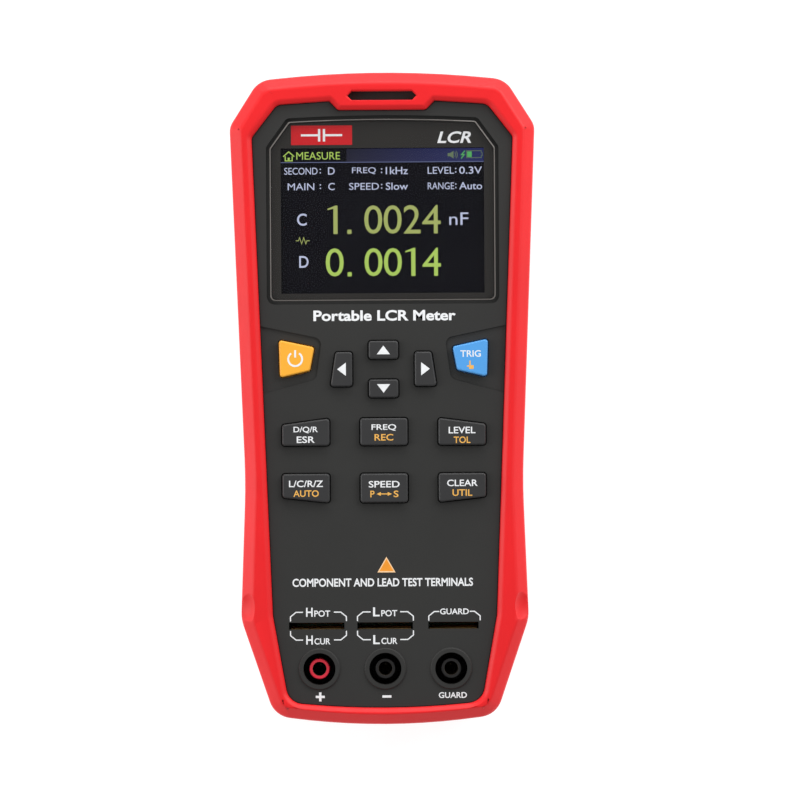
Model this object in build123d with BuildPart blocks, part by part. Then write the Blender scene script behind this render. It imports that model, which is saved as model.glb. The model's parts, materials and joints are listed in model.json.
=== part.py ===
"""Handheld LCR meter: a two-part case in a rubber holster, with a colour display, twelve keys,
three component slots, three 4 mm safety sockets, a folding stand and a battery bay.

Frame, in millimetres: the meter lies on its back. X is to the right, Y towards the display end,
Z out of the face. The origin is at the middle of the holster's back rim.
"""

import math
import os

from build123d import *

os.makedirs("parts", exist_ok=True)

# ---------------------------------------------------------------- overall sizes
body_length = 188.0
body_width = 88.0
body_depth = 44.0

# ---------------------------------------------------------------- outline of the holster
brow_inset = 8.4  # corner between the top edge and the shoulder bevel
brow_slope = 6.0  # degrees that the top edge falls away at its ends
brow_radius = 7.0
shoulder_drop = 15.4  # top end to the widest corner
shoulder_radius = 5.2
waist_inset = 4.0
waist_rise = 70.0  # above the bottom end
waist_radius = 180.0
hip_inset = 2.5
hip_rise = 30.5
hip_radius = 12.0
foot_inset = 12.0
foot_slope = 7.8
foot_radius = 7.0
corner_room = 5.0  # length of the end edges left for their corner fillets

cut_room = 3.0  # a cut starts or ends this far past what it opens
round_room = 0.01  # a rounded end stays this far under its half circle

# ---------------------------------------------------------------- opening in the holster's front
rim_brow = 5.3  # narrowings from the outline's own corners
rim_shoulder = 6.4
rim_hip = 9.2
rim_foot = 4.1
rim_top = 9.3
rim_bottom = 4.9
window_shoulder_drop = 18.7
window_hip_rise = 31.5
window_foot_slope = 5.5
window_radii = (3.2, 2.0, 10.0, 5.0)  # brow, shoulder, hip, foot
tab_half_width = 12.6
tab_depth = 2.6
tab_drop = 8.3  # top end to the opening's edge beside the tab

# ---------------------------------------------------------------- holster section
holster_wall = 2.8
holster_fit = 0.15  # gap between the holster and the case
crest_facet_run = 3.1  # outer facet round the front, across and down
crest_facet_fall = 3.2
inner_bevel_run = 1.3
inner_bevel_fall = 0.9
back_facet = 3.0
back_lip = 2.8
slot_half_length = 10.0  # pointed slot in the holster's tab
slot_half_height = 1.3
slot_drop = 6.8

# ---------------------------------------------------------------- case
case_wall = 2.2
face_sink = 1.8  # face below the holster's crest
lip_step = 1.6  # face above the shoulder that the holster laps over
back_sink = 1.9  # back of the case above the rest plane
panel_thickness = 2.4
face_gap = 0.2  # face to the holster's lip, all round
step_wall = 1.2  # wall where the face steps up
split_height = 22.0
tongue_thickness = 1.0
tongue_height = 1.2
tongue_gap = 0.1

face_z = body_depth - face_sink
shoulder_z = face_z - lip_step
panel_under_z = face_z - panel_thickness
shoulder_under_z = shoulder_z - case_wall
back_z = back_sink
floor_z = back_z + case_wall
top_y = body_length / 2
bottom_y = -body_length / 2
case_inset = holster_wall + holster_fit
case_side_x = body_width / 2 - case_inset
case_end_y = top_y - case_inset

# ---------------------------------------------------------------- display
lens_drop = 13.4  # top end to the lens
lens_height = 52.4
lens_half_width = 32.5
lens_bevel_x = 5.5  # cut-off upper corners
lens_bevel_y = 7.6
lens_slope = 3.1
lens_radii = (0.8, 1.0, 1.4)
lens_corner_room = 1.0
lens_thickness = 1.6
lens_groove = 1.0  # open groove round the lens
lens_edge = 0.3
view_half_width = 29.3  # clear part of the lens
view_height = 42.0
view_drop = 21.7
view_clearance = 0.9  # case opening beyond the clear part
lcd_width = 67.6
lcd_height = 50.0
lcd_thickness = 2.6
lcd_corner = 0.8
glass_thickness = 1.3
glass_margin = 1.6  # metal frame round the glass
glass_gap = 0.05
gasket_thickness = 0.4
gasket_margin = 0.6
tail_width = 22.0
tail_reach = 3.4
tail_thickness = 0.2
tail_rise = 1.4  # above the board, at the display
tail_lap = 1.8  # length that lies on the board

lens_top_y = top_y - lens_drop
lens_bottom_y = lens_top_y - lens_height
view_centre_y = top_y - view_drop - view_height / 2
lens_under_z = face_z - lens_thickness
lcd_top_z = panel_under_z - gasket_thickness

# ---------------------------------------------------------------- keys
key_gap = 0.35  # key to the case opening, all round
key_proud = 1.6
key_travel = 1.1
key_corner = 0.8
key_edge = 0.5
flange_width = 1.25
flange_thickness = 1.3
flange_gap = 0.1  # flange below the panel
puck_radius = 1.7
puck_thickness = 0.5
mat_thickness = 0.9
mat_gap = 0.5  # flange to the hole in the mat
mat_half_width = 33.4
mat_upper = 11.6  # above the arrow keys' middle
mat_lower = 42.0  # below it
cluster_drop = 85.6  # top end to the middle of the arrow keys
row_a_drop = 18.0  # arrow keys to the upper row
row_b_drop = 34.2
row_a_height = 7.8
row_b_height = 8.3
row_pitch = 22.5
row_key_width = 13.6
row_a_slant = 1.8
row_b_slant = 1.5
arrow_offset = 5.55
arrow_width = 8.5
arrow_height = 5.2
pocket_depth = 0.5
pocket_radius = 2.2
side_key_corners = ((19.9, 6.4), (30.1, 8.6), (29.8, -2.3), (21.2, -0.3))  # from the arrow keys' middle
side_arrow_corners = ((9.0, 5.0), (13.8, 5.0), (15.3, -4.9), (9.0, -4.9))
pocket_corners = ((17.7, 8.9), (body_width / 2, 14.4), (body_width / 2, -9.5), (19.4, -2.8))

cluster_y = top_y - cluster_drop
key_under_z = panel_under_z - flange_gap - flange_thickness
key_top_z = face_z + key_proud

# ---------------------------------------------------------------- circuit boards
board_thickness = 1.6
puck_clearance = 0.1  # puck to the board with the key fully down
display_board_half_width = 34.4
display_board_top_gap = 8.6  # top end to the board
display_board_bottom = 44.6  # below the arrow keys
display_board_corner = 9.0
main_board_z = 17.4
main_board_half_width = 26.0
main_board_reach = 11.5  # header between the boards to the main board's upper edge
main_board_rise = 8.5  # bottom end to the board
main_board_corner = 3.0
board_hole_gap = 0.15
header_drop = 117.0  # top end to the header between the boards
header_length = 20.5
header_width = 5.0
header_pitch = 2.54
header_columns = 8
header_pin_radius = 0.32
header_pin_gap = 0.06
header_socket_height = 8.5
header_strip_height = 2.5
header_engagement = 5.0
header_pin_room = 0.5  # below the pins in their holes
shield_drop = 139.5
shield_length = 32.0
shield_width = 19.0
shield_height = 4.0
shield_sheet = 0.3
shield_corner = 1.0
buzzer_x = -17.0
buzzer_drop = 122.0
buzzer_radius = 6.0
buzzer_height = 3.5
buzzer_hole_radius = 1.0

puck_under_z = key_under_z - puck_thickness
display_board_top_z = puck_under_z - key_travel - puck_clearance
display_board_z = display_board_top_z - board_thickness
main_board_top_z = main_board_z + board_thickness
main_board_bottom_y = bottom_y + main_board_rise
header_y = top_y - header_drop
main_board_height = header_y + main_board_reach - main_board_bottom_y
main_board_centre_y = main_board_bottom_y + main_board_height / 2
shield_y = top_y - shield_drop
buzzer_place = (buzzer_x, top_y - buzzer_drop)
header_pin_places = [
    ((column - (header_columns - 1) / 2) * header_pitch, header_y + row * header_pitch / 2)
    for column in range(header_columns)
    for row in (-1, 1)
]

# ---------------------------------------------------------------- 4 mm sockets
socket_pitch = 19.0
socket_rise = 16.1  # bottom end to the socket row
socket_bore_radius = 2.0
socket_bore_depth = 20.0
drill_point_depth = 1.1
drill_point_angle = 59.0
contact_wall = 0.35
mouth_radius = 2.05  # hole in the insulator's nose
insulator_radius = 2.95
insulator_nose = 1.0
insulator_sink = 1.3  # nose below the face
insulator_fit = 0.05
insulator_edge = 0.3
well_radius = 4.63  # safety shroud's inside
collar_radius = 6.05
collar_height = 0.5
collar_edge = 0.35
well_wall = 1.6
well_floor_z = 24.0
well_floor_thickness = 1.6
insulator_flange_radius = 4.4
insulator_flange_thickness = 1.2
socket_tail_radius = 1.0

socket_y = bottom_y + socket_rise
insulator_top_z = face_z - insulator_sink
contact_top_z = insulator_top_z - insulator_nose
contact_radius = socket_bore_radius + contact_wall

# ---------------------------------------------------------------- component slots
slot_rise = 28.5  # bottom end to the slot row
slot_width = 16.0
guard_slot_width = 14.5
slot_gap = 2.0
slot_pitch = 19.7
slot_block_half_width = 28.5
slot_block_half_depth = 3.4
slot_cavity_half_depth = 1.9
blade_thickness = 0.3
blade_margin = 0.4  # slot's half width to the blade's
blade_pinch = 0.35  # blade to the slot's middle plane at the pinch
blade_rest = 1.3
blade_tail_width = 4.0
blade_tail_below = 1.0
blade_wall_gap = 0.05
blade_bend_z = 26.0
blade_pinch_z = 34.0
blade_top_z = 37.5

slot_y = bottom_y + slot_rise
blade_tail_y = slot_cavity_half_depth - blade_wall_gap - blade_thickness / 2

# ---------------------------------------------------------------- screws and bosses
boss_radius = 3.0
screw_radius = 1.5
screw_head_radius = 2.8
screw_head_height = 2.0
screw_cross = (3.2, 0.7, 1.2)  # length, width and depth of each arm
screw_clearance = 0.2
screw_grip = 9.0  # length of thread in the front case
head_seat_z = 12.0
thread_gap = 0.02
boss_wall = 1.2
top_boss = (13.05, 8.55)  # in from the case's widest side, and from its top end
waist_boss = (8.85, 73.45)  # in from the case's widest side, and from its bottom end
foot_boss = (10.75, 17.55)
board_screw_radius = 1.0
board_screw_head = (1.9, 1.4)
board_screw_grip = 2.4
board_boss_radius = 2.1
board_notch_gap = 0.4  # board to the case's bosses
lens_screw = (12.0, 1.4)  # x, and distance above the lens
wing_screw = (24.0, 13.9)  # x, and distance above the arrow keys' middle
low_screw = (11.3, 25.9)  # x, and distance below it
main_screw_x = 21.5
main_screw_drop = 4.0  # top edge of the main board to its upper screws
main_screw_rise = 9.0  # slots to its lower screws

rear_boss_radius = screw_head_radius + screw_clearance + boss_wall

# ---------------------------------------------------------------- battery
cell_radius = 9.2
cell_length = 65.2
cell_drop = 33.6  # top end to the cell's axis
cell_clearance = 0.5
cell_edge = 0.8
bay_wall = 1.6
bay_end_room = 2.4  # contact springs at each end
cover_overlap = 1.5
cover_thickness = 1.8
cover_gap = 0.2
cover_lower_flange = 6.8  # plate below the bay, for the screws
cover_corner = 4.0
cover_screw_x = 27.0
cover_screw_length = 8.0
cover_screw_radius = 1.2
cover_screw_head = (2.2, 1.1)
cover_screw_cross = (2.6, 0.6, 0.7)
cover_boss_wall = 1.4
cover_ledge_thickness = 1.6
battery_plate = (12.0, 0.4, 1.0)  # contact plate's size, thickness and corners
battery_spring_radius = 4.0
battery_spring_taper = 35.0

cell_y = top_y - cell_drop
cell_z = floor_z + cell_clearance + cell_radius
bay_half_length = cell_length / 2 + bay_end_room
bay_half_height = cell_radius + cell_clearance
bay_ceiling_z = cell_z + cell_radius + cell_clearance

# ---------------------------------------------------------------- stand
stand_drop = 57.0  # top end to the hinge axis
stand_length = 72.0
stand_half_width = 24.0
stand_thickness = 3.0
stand_sink = 0.3  # below the back of the case
stand_gap = 0.4
stand_corner = 8.0
hinge_radius = 1.9
hinge_pin_radius = 1.5
hinge_pin_length = 2.0
hinge_pin_gap = 0.06
hinge_pin_end_gap = 0.3
recess_clearance = 0.2
recess_wall = 3.0
recess_roof = 1.6
scoop_half_width = 9.0
scoop_length = 8.0
scoop_depth = 6.4
scoop_corner = 3.0
stand_panel_drop = 30.0  # hinge to the middle of the sunk panel
stand_panel_width = 30.0
stand_panel_length = 34.0
stand_panel_depth = 0.6
stand_panel_corner = 4.0

hinge_y = top_y - stand_drop
hinge_z = back_z + stand_sink + hinge_radius
recess_ceiling_z = hinge_z + hinge_radius + recess_clearance
stand_foot_y = hinge_y - stand_length
stand_panel_y = hinge_y - stand_panel_drop

# ---------------------------------------------------------------- charging port
port_x = -19.5
port_width = 9.0
port_height = 3.3
port_depth = 7.4
port_sink = 1.6  # mouth inside the case's end
port_shell = 0.3
port_hole_gap = 0.15
port_tongue = (6.6, 0.7, 5.0)
port_cover_half_width = 8.0
port_cover_height = 8.0
port_cover_thickness = 1.6
port_cover_gap = 0.3
port_cover_seat = 0.15
port_cover_corner = 1.2
port_plug_gap = 0.7
port_plug_length = 1.6
port_plug_corner = 0.6
port_hinge_radius = 0.8

port_z = display_board_z - port_height / 2


# ---------------------------------------------------------------- plan outlines
def crowned_end(half_width, slope_degrees, room):
    """Rise of the corner point over the crown, fall of the end corners, and the crown's radius."""
    slope = math.radians(slope_degrees)
    radius = (half_width / math.cos(slope) - room) / math.tan(slope)
    rise = radius * (1 / math.cos(slope) - 1)
    return rise, half_width * math.tan(slope) - rise, radius


def drawn_in(points, radii, inset):
    """The outline's corners and radii after every side has moved inwards by an inset."""
    turns = sum(x * next_y - next_x * y for (x, y), (next_x, next_y) in zip(points, points[1:] + points[:1]))
    hand = 1 if turns > 0 else -1
    moved_points = []
    moved_radii = []
    for i, (point, radius) in enumerate(zip(points, radii)):
        before = Vector(*point) - Vector(*points[i - 1])
        after = Vector(*points[(i + 1) % len(points)]) - Vector(*point)
        side_in = Vector(-before.Y, before.X).normalized() * hand
        side_out = Vector(-after.Y, after.X).normalized() * hand
        corner = Vector(*point) + (side_in + side_out) * (inset / (1 + side_in.dot(side_out)))
        convex = before.cross(after).Z * hand > 0
        moved_points.append((corner.X, corner.Y))
        moved_radii.append(max(radius - inset if convex else radius + inset, 0.0) if radius else 0.0)
    return moved_points, moved_radii


def closed_outline(points, radii, inset=0.0):
    """Closed outline through the points with its corners rounded, drawn in by an inset."""
    moved_points, moved_radii = drawn_in(points, radii, inset)
    with BuildSketch() as outline:
        with BuildLine():
            FilletPolyline(*moved_points, radius=moved_radii, close=True)
        make_face()
    return outline.sketch


def mirrored_outline(right_points, right_radii, inset=0.0):
    """Closed outline from its right half, listed downwards; points on the middle line count once."""
    mirrored = [
        ((-x, y), radius) for (x, y), radius in zip(reversed(right_points), reversed(right_radii)) if x
    ]
    points = right_points + [point for point, _ in mirrored]
    radii = right_radii + [radius for _, radius in mirrored]
    return closed_outline(points, radii, inset)


def body_outline(inset=0.0):
    """Plan outline of the holster, drawn in by an inset."""
    brow_x = body_width / 2 - brow_inset
    foot_x = body_width / 2 - foot_inset
    brow_rise, brow_fall, brow_crown = crowned_end(brow_x, brow_slope, corner_room)
    foot_rise, foot_fall, foot_crown = crowned_end(foot_x, foot_slope, corner_room)
    points = [
        (0, top_y + brow_rise),
        (brow_x, top_y - brow_fall),
        (body_width / 2, top_y - shoulder_drop),
        (body_width / 2 - waist_inset, bottom_y + waist_rise),
        (body_width / 2 - hip_inset, bottom_y + hip_rise),
        (foot_x, bottom_y + foot_fall),
        (0, bottom_y - foot_rise),
    ]
    radii = [brow_crown, brow_radius, shoulder_radius, waist_radius, hip_radius, foot_radius, foot_crown]
    return mirrored_outline(points, radii, inset)


def window_outline(inset=0.0):
    """Opening in the holster's front, with the tab that hangs into it, drawn in by an inset."""
    foot_x = body_width / 2 - foot_inset - rim_foot
    foot_rise, foot_fall, foot_crown = crowned_end(foot_x, window_foot_slope, corner_room)
    window_top_y = top_y - tab_drop
    points = [
        (tab_half_width, window_top_y - tab_depth),
        (tab_half_width + tab_depth, window_top_y),
        (body_width / 2 - brow_inset - rim_brow, top_y - rim_top),
        (body_width / 2 - rim_shoulder, top_y - window_shoulder_drop),
        (body_width / 2 - hip_inset - rim_hip, bottom_y + window_hip_rise),
        (foot_x, bottom_y + rim_bottom + foot_fall),
        (0, bottom_y + rim_bottom - foot_rise),
    ]
    return mirrored_outline(points, [0, 0, *window_radii, foot_crown], inset)


def lens_outline(inset=0.0):
    """Display lens with its upper corners cut off, drawn in by an inset."""
    rise, fall, crown = crowned_end(lens_half_width - lens_bevel_x, lens_slope, lens_corner_room)
    points = [
        (0, lens_top_y + rise),
        (lens_half_width - lens_bevel_x, lens_top_y - fall),
        (lens_half_width, lens_top_y - fall - lens_bevel_y),
        (lens_half_width, lens_bottom_y),
    ]
    return mirrored_outline(points, [crown, *lens_radii], inset)


# ---------------------------------------------------------------- key outlines
def row_key_points(column, row_drop, height, upper_slant, lower_slant):
    """Corners of a key in one of the two rows; the outer columns' outer corners are cut in."""
    centre_x = column * row_pitch
    centre_y = cluster_y - row_drop
    outer_upper = upper_slant if column else 0
    outer_lower = lower_slant if column else 0
    side = column or 1
    outer_x = centre_x + side * row_key_width / 2
    inner_x = centre_x - side * row_key_width / 2
    return [
        (inner_x, centre_y + height / 2),
        (outer_x, centre_y + height / 2 - outer_upper),
        (outer_x, centre_y - height / 2 + outer_lower),
        (inner_x, centre_y - height / 2),
    ]


def side_key_points(side):
    """Power key (side -1) or trigger key (side 1)."""
    return [(side * x, cluster_y + y) for x, y in side_key_corners]


def side_arrow_points(side):
    """Left or right arrow key, which leans outwards towards its foot."""
    return [(side * x, cluster_y + y) for x, y in side_arrow_corners]


def middle_arrow_points(side):
    """Up or down arrow key."""
    y = cluster_y + side * arrow_offset
    return [
        (-arrow_width / 2, y + arrow_height / 2),
        (arrow_width / 2, y + arrow_height / 2),
        (arrow_width / 2, y - arrow_height / 2),
        (-arrow_width / 2, y - arrow_height / 2),
    ]


key_points = {
    "power": side_key_points(-1),
    "trigger": side_key_points(1),
    "up": middle_arrow_points(1),
    "down": middle_arrow_points(-1),
    "left": side_arrow_points(-1),
    "right": side_arrow_points(1),
    "dissipation": row_key_points(-1, row_a_drop, row_a_height, row_a_slant, 0),
    "frequency": row_key_points(0, row_a_drop, row_a_height, row_a_slant, 0),
    "level": row_key_points(1, row_a_drop, row_a_height, row_a_slant, 0),
    "parameter": row_key_points(-1, row_b_drop, row_b_height, 0, row_b_slant),
    "speed": row_key_points(0, row_b_drop, row_b_height, 0, row_b_slant),
    "clear": row_key_points(1, row_b_drop, row_b_height, 0, row_b_slant),
}


def key_outline(name, grow=0.0):
    """Plan outline of a key, grown on every side."""
    return closed_outline(key_points[name], [key_corner] * 4, -grow)


def key_centre(name):
    """Middle of a key's corners."""
    points = key_points[name]
    return sum(x for x, _ in points) / len(points), sum(y for _, y in points) / len(points)


def side_pocket(side):
    """Shallow wing sunk into the face round the power or trigger key, open to the face's edge."""
    points = [(side * x, cluster_y + y) for x, y in pocket_corners]
    return closed_outline(points, [pocket_radius, 0, 0, pocket_radius])


# ---------------------------------------------------------------- places that repeat
socket_places = [(column * socket_pitch, socket_y) for column in (-1, 0, 1)]
slot_columns = {"high": (-1, slot_width), "low": (0, slot_width), "guard": (1, guard_slot_width)}
boss_places = [
    (side * x, y)
    for side in (-1, 1)
    for x, y in (
        (case_side_x - top_boss[0], case_end_y - top_boss[1]),
        (case_side_x - waist_boss[0], waist_boss[1] - case_end_y),
        (case_side_x - foot_boss[0], foot_boss[1] - case_end_y),
    )
]
display_screw_places = [
    (side * x, y)
    for side in (-1, 1)
    for x, y in (
        (lens_screw[0], lens_top_y + lens_screw[1]),
        (wing_screw[0], cluster_y + wing_screw[1]),
        (low_screw[0], cluster_y - low_screw[1]),
    )
]
main_screw_places = [
    (side * main_screw_x, y)
    for side in (-1, 1)
    for y in (main_board_bottom_y + main_board_height - main_screw_drop, slot_y + main_screw_rise)
]
cover_screw_places = [
    (side * cover_screw_x, cell_y - bay_half_height - cover_lower_flange / 2) for side in (-1, 1)
]


def slot_places():
    """Middle and width of each component slot."""
    return [(column * slot_pitch, width) for column, width in slot_columns.values()]


def finish(part, name):
    """Labels a finished piece and writes it."""
    part.label = name
    export_step(part, f"parts/{name}.step")


# ---------------------------------------------------------------- holster
def make_holster():
    """Rubber sleeve round the sides, lapping over the front and the back of the case."""
    lip_z = back_z - holster_fit
    with BuildPart() as hollow:
        with BuildSketch(Plane.XY.offset(lip_z)):
            add(body_outline(holster_wall))
        extrude(amount=shoulder_z + holster_fit - lip_z)
        with BuildSketch(Plane.XY.offset(shoulder_z)):
            add(window_outline())
        extrude(amount=body_depth + lip_step - shoulder_z)
        with BuildSketch(Plane.XY.offset(-lip_step)):
            add(body_outline(holster_wall + back_lip))
        extrude(amount=lip_z + lip_step)
    with BuildPart() as holster:
        with BuildSketch():
            add(body_outline())
        extrude(amount=body_depth)
        front_face = holster.faces().sort_by(Axis.Z)[-1]
        chamfer(front_face.edges(), length=crest_facet_run, length2=crest_facet_fall, reference=front_face)
        back_face = holster.faces().sort_by(Axis.Z)[0]
        chamfer(back_face.edges(), length=back_facet)
        add(hollow.part, mode=Mode.SUBTRACT)
        crest = holster.faces().filter_by(Axis.Z).sort_by(Axis.Z)[-1]
        chamfer(
            crest.inner_wires()[0].edges(),
            length=inner_bevel_run,
            length2=inner_bevel_fall,
            reference=crest,
        )
        slot_y_middle = top_y - slot_drop
        with BuildSketch(Plane.XY.offset(body_depth)):
            with BuildLine():
                Polyline(
                    (-slot_half_length, slot_y_middle),
                    (-slot_half_length + slot_half_height, slot_y_middle + slot_half_height),
                    (slot_half_length - slot_half_height, slot_y_middle + slot_half_height),
                    (slot_half_length, slot_y_middle),
                    (slot_half_length - slot_half_height, slot_y_middle - slot_half_height),
                    (-slot_half_length + slot_half_height, slot_y_middle - slot_half_height),
                    close=True,
                )
            make_face()
        extrude(amount=shoulder_z - body_depth - cut_room, mode=Mode.SUBTRACT)
        with BuildSketch(Plane.XZ.offset(-top_y - cut_room)):
            with Locations((port_x, port_z)):
                RectangleRounded(
                    2 * (port_cover_half_width + port_cover_gap),
                    port_cover_height + 2 * port_cover_gap,
                    port_cover_gap,
                )
        extrude(amount=shoulder_drop, mode=Mode.SUBTRACT)
    finish(holster.part, "holster")


# ---------------------------------------------------------------- case
def make_front_case():
    """Front shell with the face, the display opening, the key openings and the socket wells."""
    with BuildPart() as front_case:
        with BuildSketch(Plane.XY.offset(split_height)):
            add(body_outline(case_inset))
        extrude(amount=shoulder_z - split_height)
        with BuildSketch(Plane.XY.offset(shoulder_z)):
            add(window_outline(face_gap))
        extrude(amount=face_z - shoulder_z)
        with BuildSketch(Plane.XY.offset(split_height)):
            add(body_outline(case_inset + case_wall))
        extrude(amount=shoulder_under_z - split_height, mode=Mode.SUBTRACT)
        with BuildSketch(Plane.XY.offset(shoulder_under_z)):
            add(window_outline(face_gap + step_wall))
        extrude(amount=panel_under_z - shoulder_under_z, mode=Mode.SUBTRACT)
        with BuildSketch(Plane.XY.offset(split_height)):
            add(body_outline(case_inset + case_wall - tongue_thickness))
            add(body_outline(case_inset + case_wall), mode=Mode.SUBTRACT)
        extrude(amount=-tongue_height)

        with BuildSketch(Plane.XY.offset(split_height)):
            with Locations(*boss_places):
                Circle(boss_radius)
        extrude(amount=shoulder_under_z - split_height)
        with BuildSketch(Plane.XY.offset(split_height)):
            with Locations(*boss_places):
                Circle(screw_radius + thread_gap)
        extrude(amount=screw_grip + thread_gap, mode=Mode.SUBTRACT)
        with BuildSketch(Plane.XY.offset(display_board_top_z)):
            with Locations(*display_screw_places):
                Circle(board_boss_radius)
        extrude(amount=panel_under_z - display_board_top_z)
        with BuildSketch(Plane.XY.offset(display_board_top_z)):
            with Locations(*display_screw_places):
                Circle(board_screw_radius + thread_gap)
        extrude(amount=board_screw_grip + thread_gap, mode=Mode.SUBTRACT)

        with BuildSketch(Plane.XY.offset(face_z)):
            add(lens_outline(-lens_groove))
        extrude(amount=-lens_thickness, mode=Mode.SUBTRACT)
        with BuildSketch(Plane.XY.offset(face_z)):
            with Locations((0, view_centre_y)):
                Rectangle(2 * (view_half_width + view_clearance), view_height + 2 * view_clearance)
        extrude(amount=-panel_thickness, mode=Mode.SUBTRACT)
        with BuildSketch(Plane.XY.offset(face_z)):
            for side in (-1, 1):
                add(side_pocket(side))
        extrude(amount=-pocket_depth, mode=Mode.SUBTRACT)
        with BuildSketch(Plane.XY.offset(face_z)):
            for name in key_points:
                add(key_outline(name, key_gap))
        extrude(amount=-panel_thickness, mode=Mode.SUBTRACT)

        with BuildSketch(Plane.XY.offset(well_floor_z - well_floor_thickness)):
            with Locations(*socket_places):
                Circle(well_radius + well_wall)
        extrude(amount=face_z - well_floor_z + well_floor_thickness)
        with BuildSketch(Plane.XY.offset(face_z)):
            with Locations(*socket_places):
                Circle(collar_radius)
        extrude(amount=collar_height)
        collar_tops = front_case.faces().filter_by(Axis.Z).sort_by(Axis.Z)[-3:]
        chamfer(collar_tops.edges(), length=collar_edge)
        with BuildSketch(Plane.XY.offset(well_floor_z)):
            with Locations(*socket_places):
                Circle(well_radius)
        extrude(amount=face_z + collar_height - well_floor_z, mode=Mode.SUBTRACT)
        with BuildSketch(Plane.XY.offset(well_floor_z)):
            with Locations(*socket_places):
                Circle(insulator_radius + insulator_fit)
        extrude(amount=-well_floor_thickness, mode=Mode.SUBTRACT)

        with BuildSketch(Plane.XY.offset(face_z)):
            for x, width in slot_places():
                with Locations((x, slot_y)):
                    Rectangle(width, slot_gap)
        extrude(amount=-panel_thickness, mode=Mode.SUBTRACT)

        with BuildSketch(Plane.XZ.offset(-top_y)):
            with Locations((port_x, port_z)):
                RectangleRounded(
                    port_width + 2 * port_hole_gap,
                    port_height + 2 * port_hole_gap,
                    port_height / 2,
                )
        extrude(amount=case_inset + case_wall + cut_room, mode=Mode.SUBTRACT)
    finish(front_case.part, "front_case")


def make_rear_case():
    """Rear shell with the battery bay, the stand's recess and the screw bosses."""
    recess_half_width = stand_half_width + stand_gap
    recess_top_y = hinge_y + hinge_radius + stand_gap
    recess_bottom_y = stand_foot_y - stand_gap
    recess_height = recess_top_y - recess_bottom_y
    recess_middle = (0, (recess_top_y + recess_bottom_y) / 2)
    scoop_middle = (0, recess_bottom_y - scoop_length / 2)
    seat_z = back_z + cover_thickness
    with BuildPart() as rear_case:
        with BuildSketch(Plane.XY.offset(back_z)):
            add(body_outline(case_inset))
        extrude(amount=split_height - back_z)
        with BuildSketch(Plane.XY.offset(floor_z)):
            add(body_outline(case_inset + case_wall))
        extrude(amount=split_height - floor_z, mode=Mode.SUBTRACT)

        with BuildSketch(Plane.XY.offset(floor_z)):
            with Locations(*boss_places):
                Circle(rear_boss_radius)
        extrude(amount=split_height - floor_z)
        with BuildSketch(Plane.XY.offset(floor_z)):
            with Locations(*main_screw_places):
                Circle(board_boss_radius)
        extrude(amount=main_board_z - floor_z)
        with BuildSketch(Plane.XY.offset(main_board_z)):
            with Locations(*main_screw_places):
                Circle(board_screw_radius + thread_gap)
        extrude(amount=-board_screw_grip - thread_gap, mode=Mode.SUBTRACT)
        with BuildSketch(Plane.XY.offset(floor_z)):
            with Locations(*cover_screw_places):
                Circle(cover_screw_radius + cover_boss_wall)
        extrude(amount=cover_screw_length)

        with BuildSketch(Plane.XY.offset(floor_z)):
            with Locations((0, cell_y)):
                Rectangle(2 * (bay_half_length + bay_wall), 2 * (bay_half_height + bay_wall))
        extrude(amount=bay_ceiling_z + bay_wall - floor_z)
        with BuildSketch(Plane.XY.offset(floor_z)):
            add(cover_sketch(-cover_gap - bay_wall))
        extrude(amount=seat_z + cover_ledge_thickness - floor_z)
        with BuildSketch(Plane.XY.offset(floor_z)):
            with Locations(recess_middle):
                Rectangle(
                    2 * (recess_half_width + recess_wall),
                    recess_height + 2 * recess_wall,
                )
        extrude(amount=recess_ceiling_z + recess_roof - floor_z)
        with BuildSketch(Plane.XY.offset(floor_z)):
            with Locations(scoop_middle):
                Rectangle(
                    2 * (scoop_half_width + recess_roof),
                    scoop_length + 2 * recess_roof,
                )
        extrude(amount=back_z + scoop_depth + recess_roof - floor_z)

        with BuildSketch(Plane.XY.offset(back_z)):
            with Locations((0, cell_y)):
                Rectangle(2 * bay_half_length, 2 * bay_half_height)
        extrude(amount=bay_ceiling_z - back_z, mode=Mode.SUBTRACT)
        with BuildSketch(Plane.XY.offset(back_z)):
            add(cover_sketch(-cover_gap))
        extrude(amount=cover_thickness, mode=Mode.SUBTRACT)
        with BuildSketch(Plane.XY.offset(back_z)):
            with Locations(*cover_screw_places):
                Circle(cover_screw_radius + thread_gap)
        extrude(amount=cover_screw_length + thread_gap, mode=Mode.SUBTRACT)
        with BuildSketch(Plane.XY.offset(back_z)):
            with Locations(recess_middle):
                RectangleRounded(2 * recess_half_width, recess_height, stand_gap)
        extrude(amount=recess_ceiling_z - back_z, mode=Mode.SUBTRACT)
        with BuildSketch(Plane.XY.offset(back_z)) as scoop:
            with Locations(scoop_middle):
                Rectangle(2 * scoop_half_width, scoop_length)
            fillet(scoop.vertices().group_by(Axis.Y)[0], scoop_corner)
        extrude(amount=scoop_depth, mode=Mode.SUBTRACT)
        pin_reach = stand_half_width + hinge_pin_length + hinge_pin_end_gap
        with BuildSketch(Plane.YZ.offset(-pin_reach)):
            with Locations((hinge_y, hinge_z)):
                Circle(hinge_pin_radius + hinge_pin_gap)
        extrude(amount=2 * pin_reach, mode=Mode.SUBTRACT)

        with BuildSketch(Plane.XY.offset(back_z)):
            with Locations(*boss_places):
                Circle(screw_head_radius + screw_clearance)
        extrude(amount=head_seat_z - back_z, mode=Mode.SUBTRACT)
        with BuildSketch(Plane.XY.offset(head_seat_z)):
            with Locations(*boss_places):
                Circle(screw_radius + screw_clearance)
        extrude(amount=split_height - head_seat_z, mode=Mode.SUBTRACT)
        with BuildSketch(Plane.XY.offset(split_height)):
            add(body_outline(case_inset + case_wall - tongue_thickness - tongue_gap))
            add(body_outline(case_inset + case_wall), mode=Mode.SUBTRACT)
        extrude(amount=-tongue_height - tongue_gap, mode=Mode.SUBTRACT)
    finish(rear_case.part, "rear_case")


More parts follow.
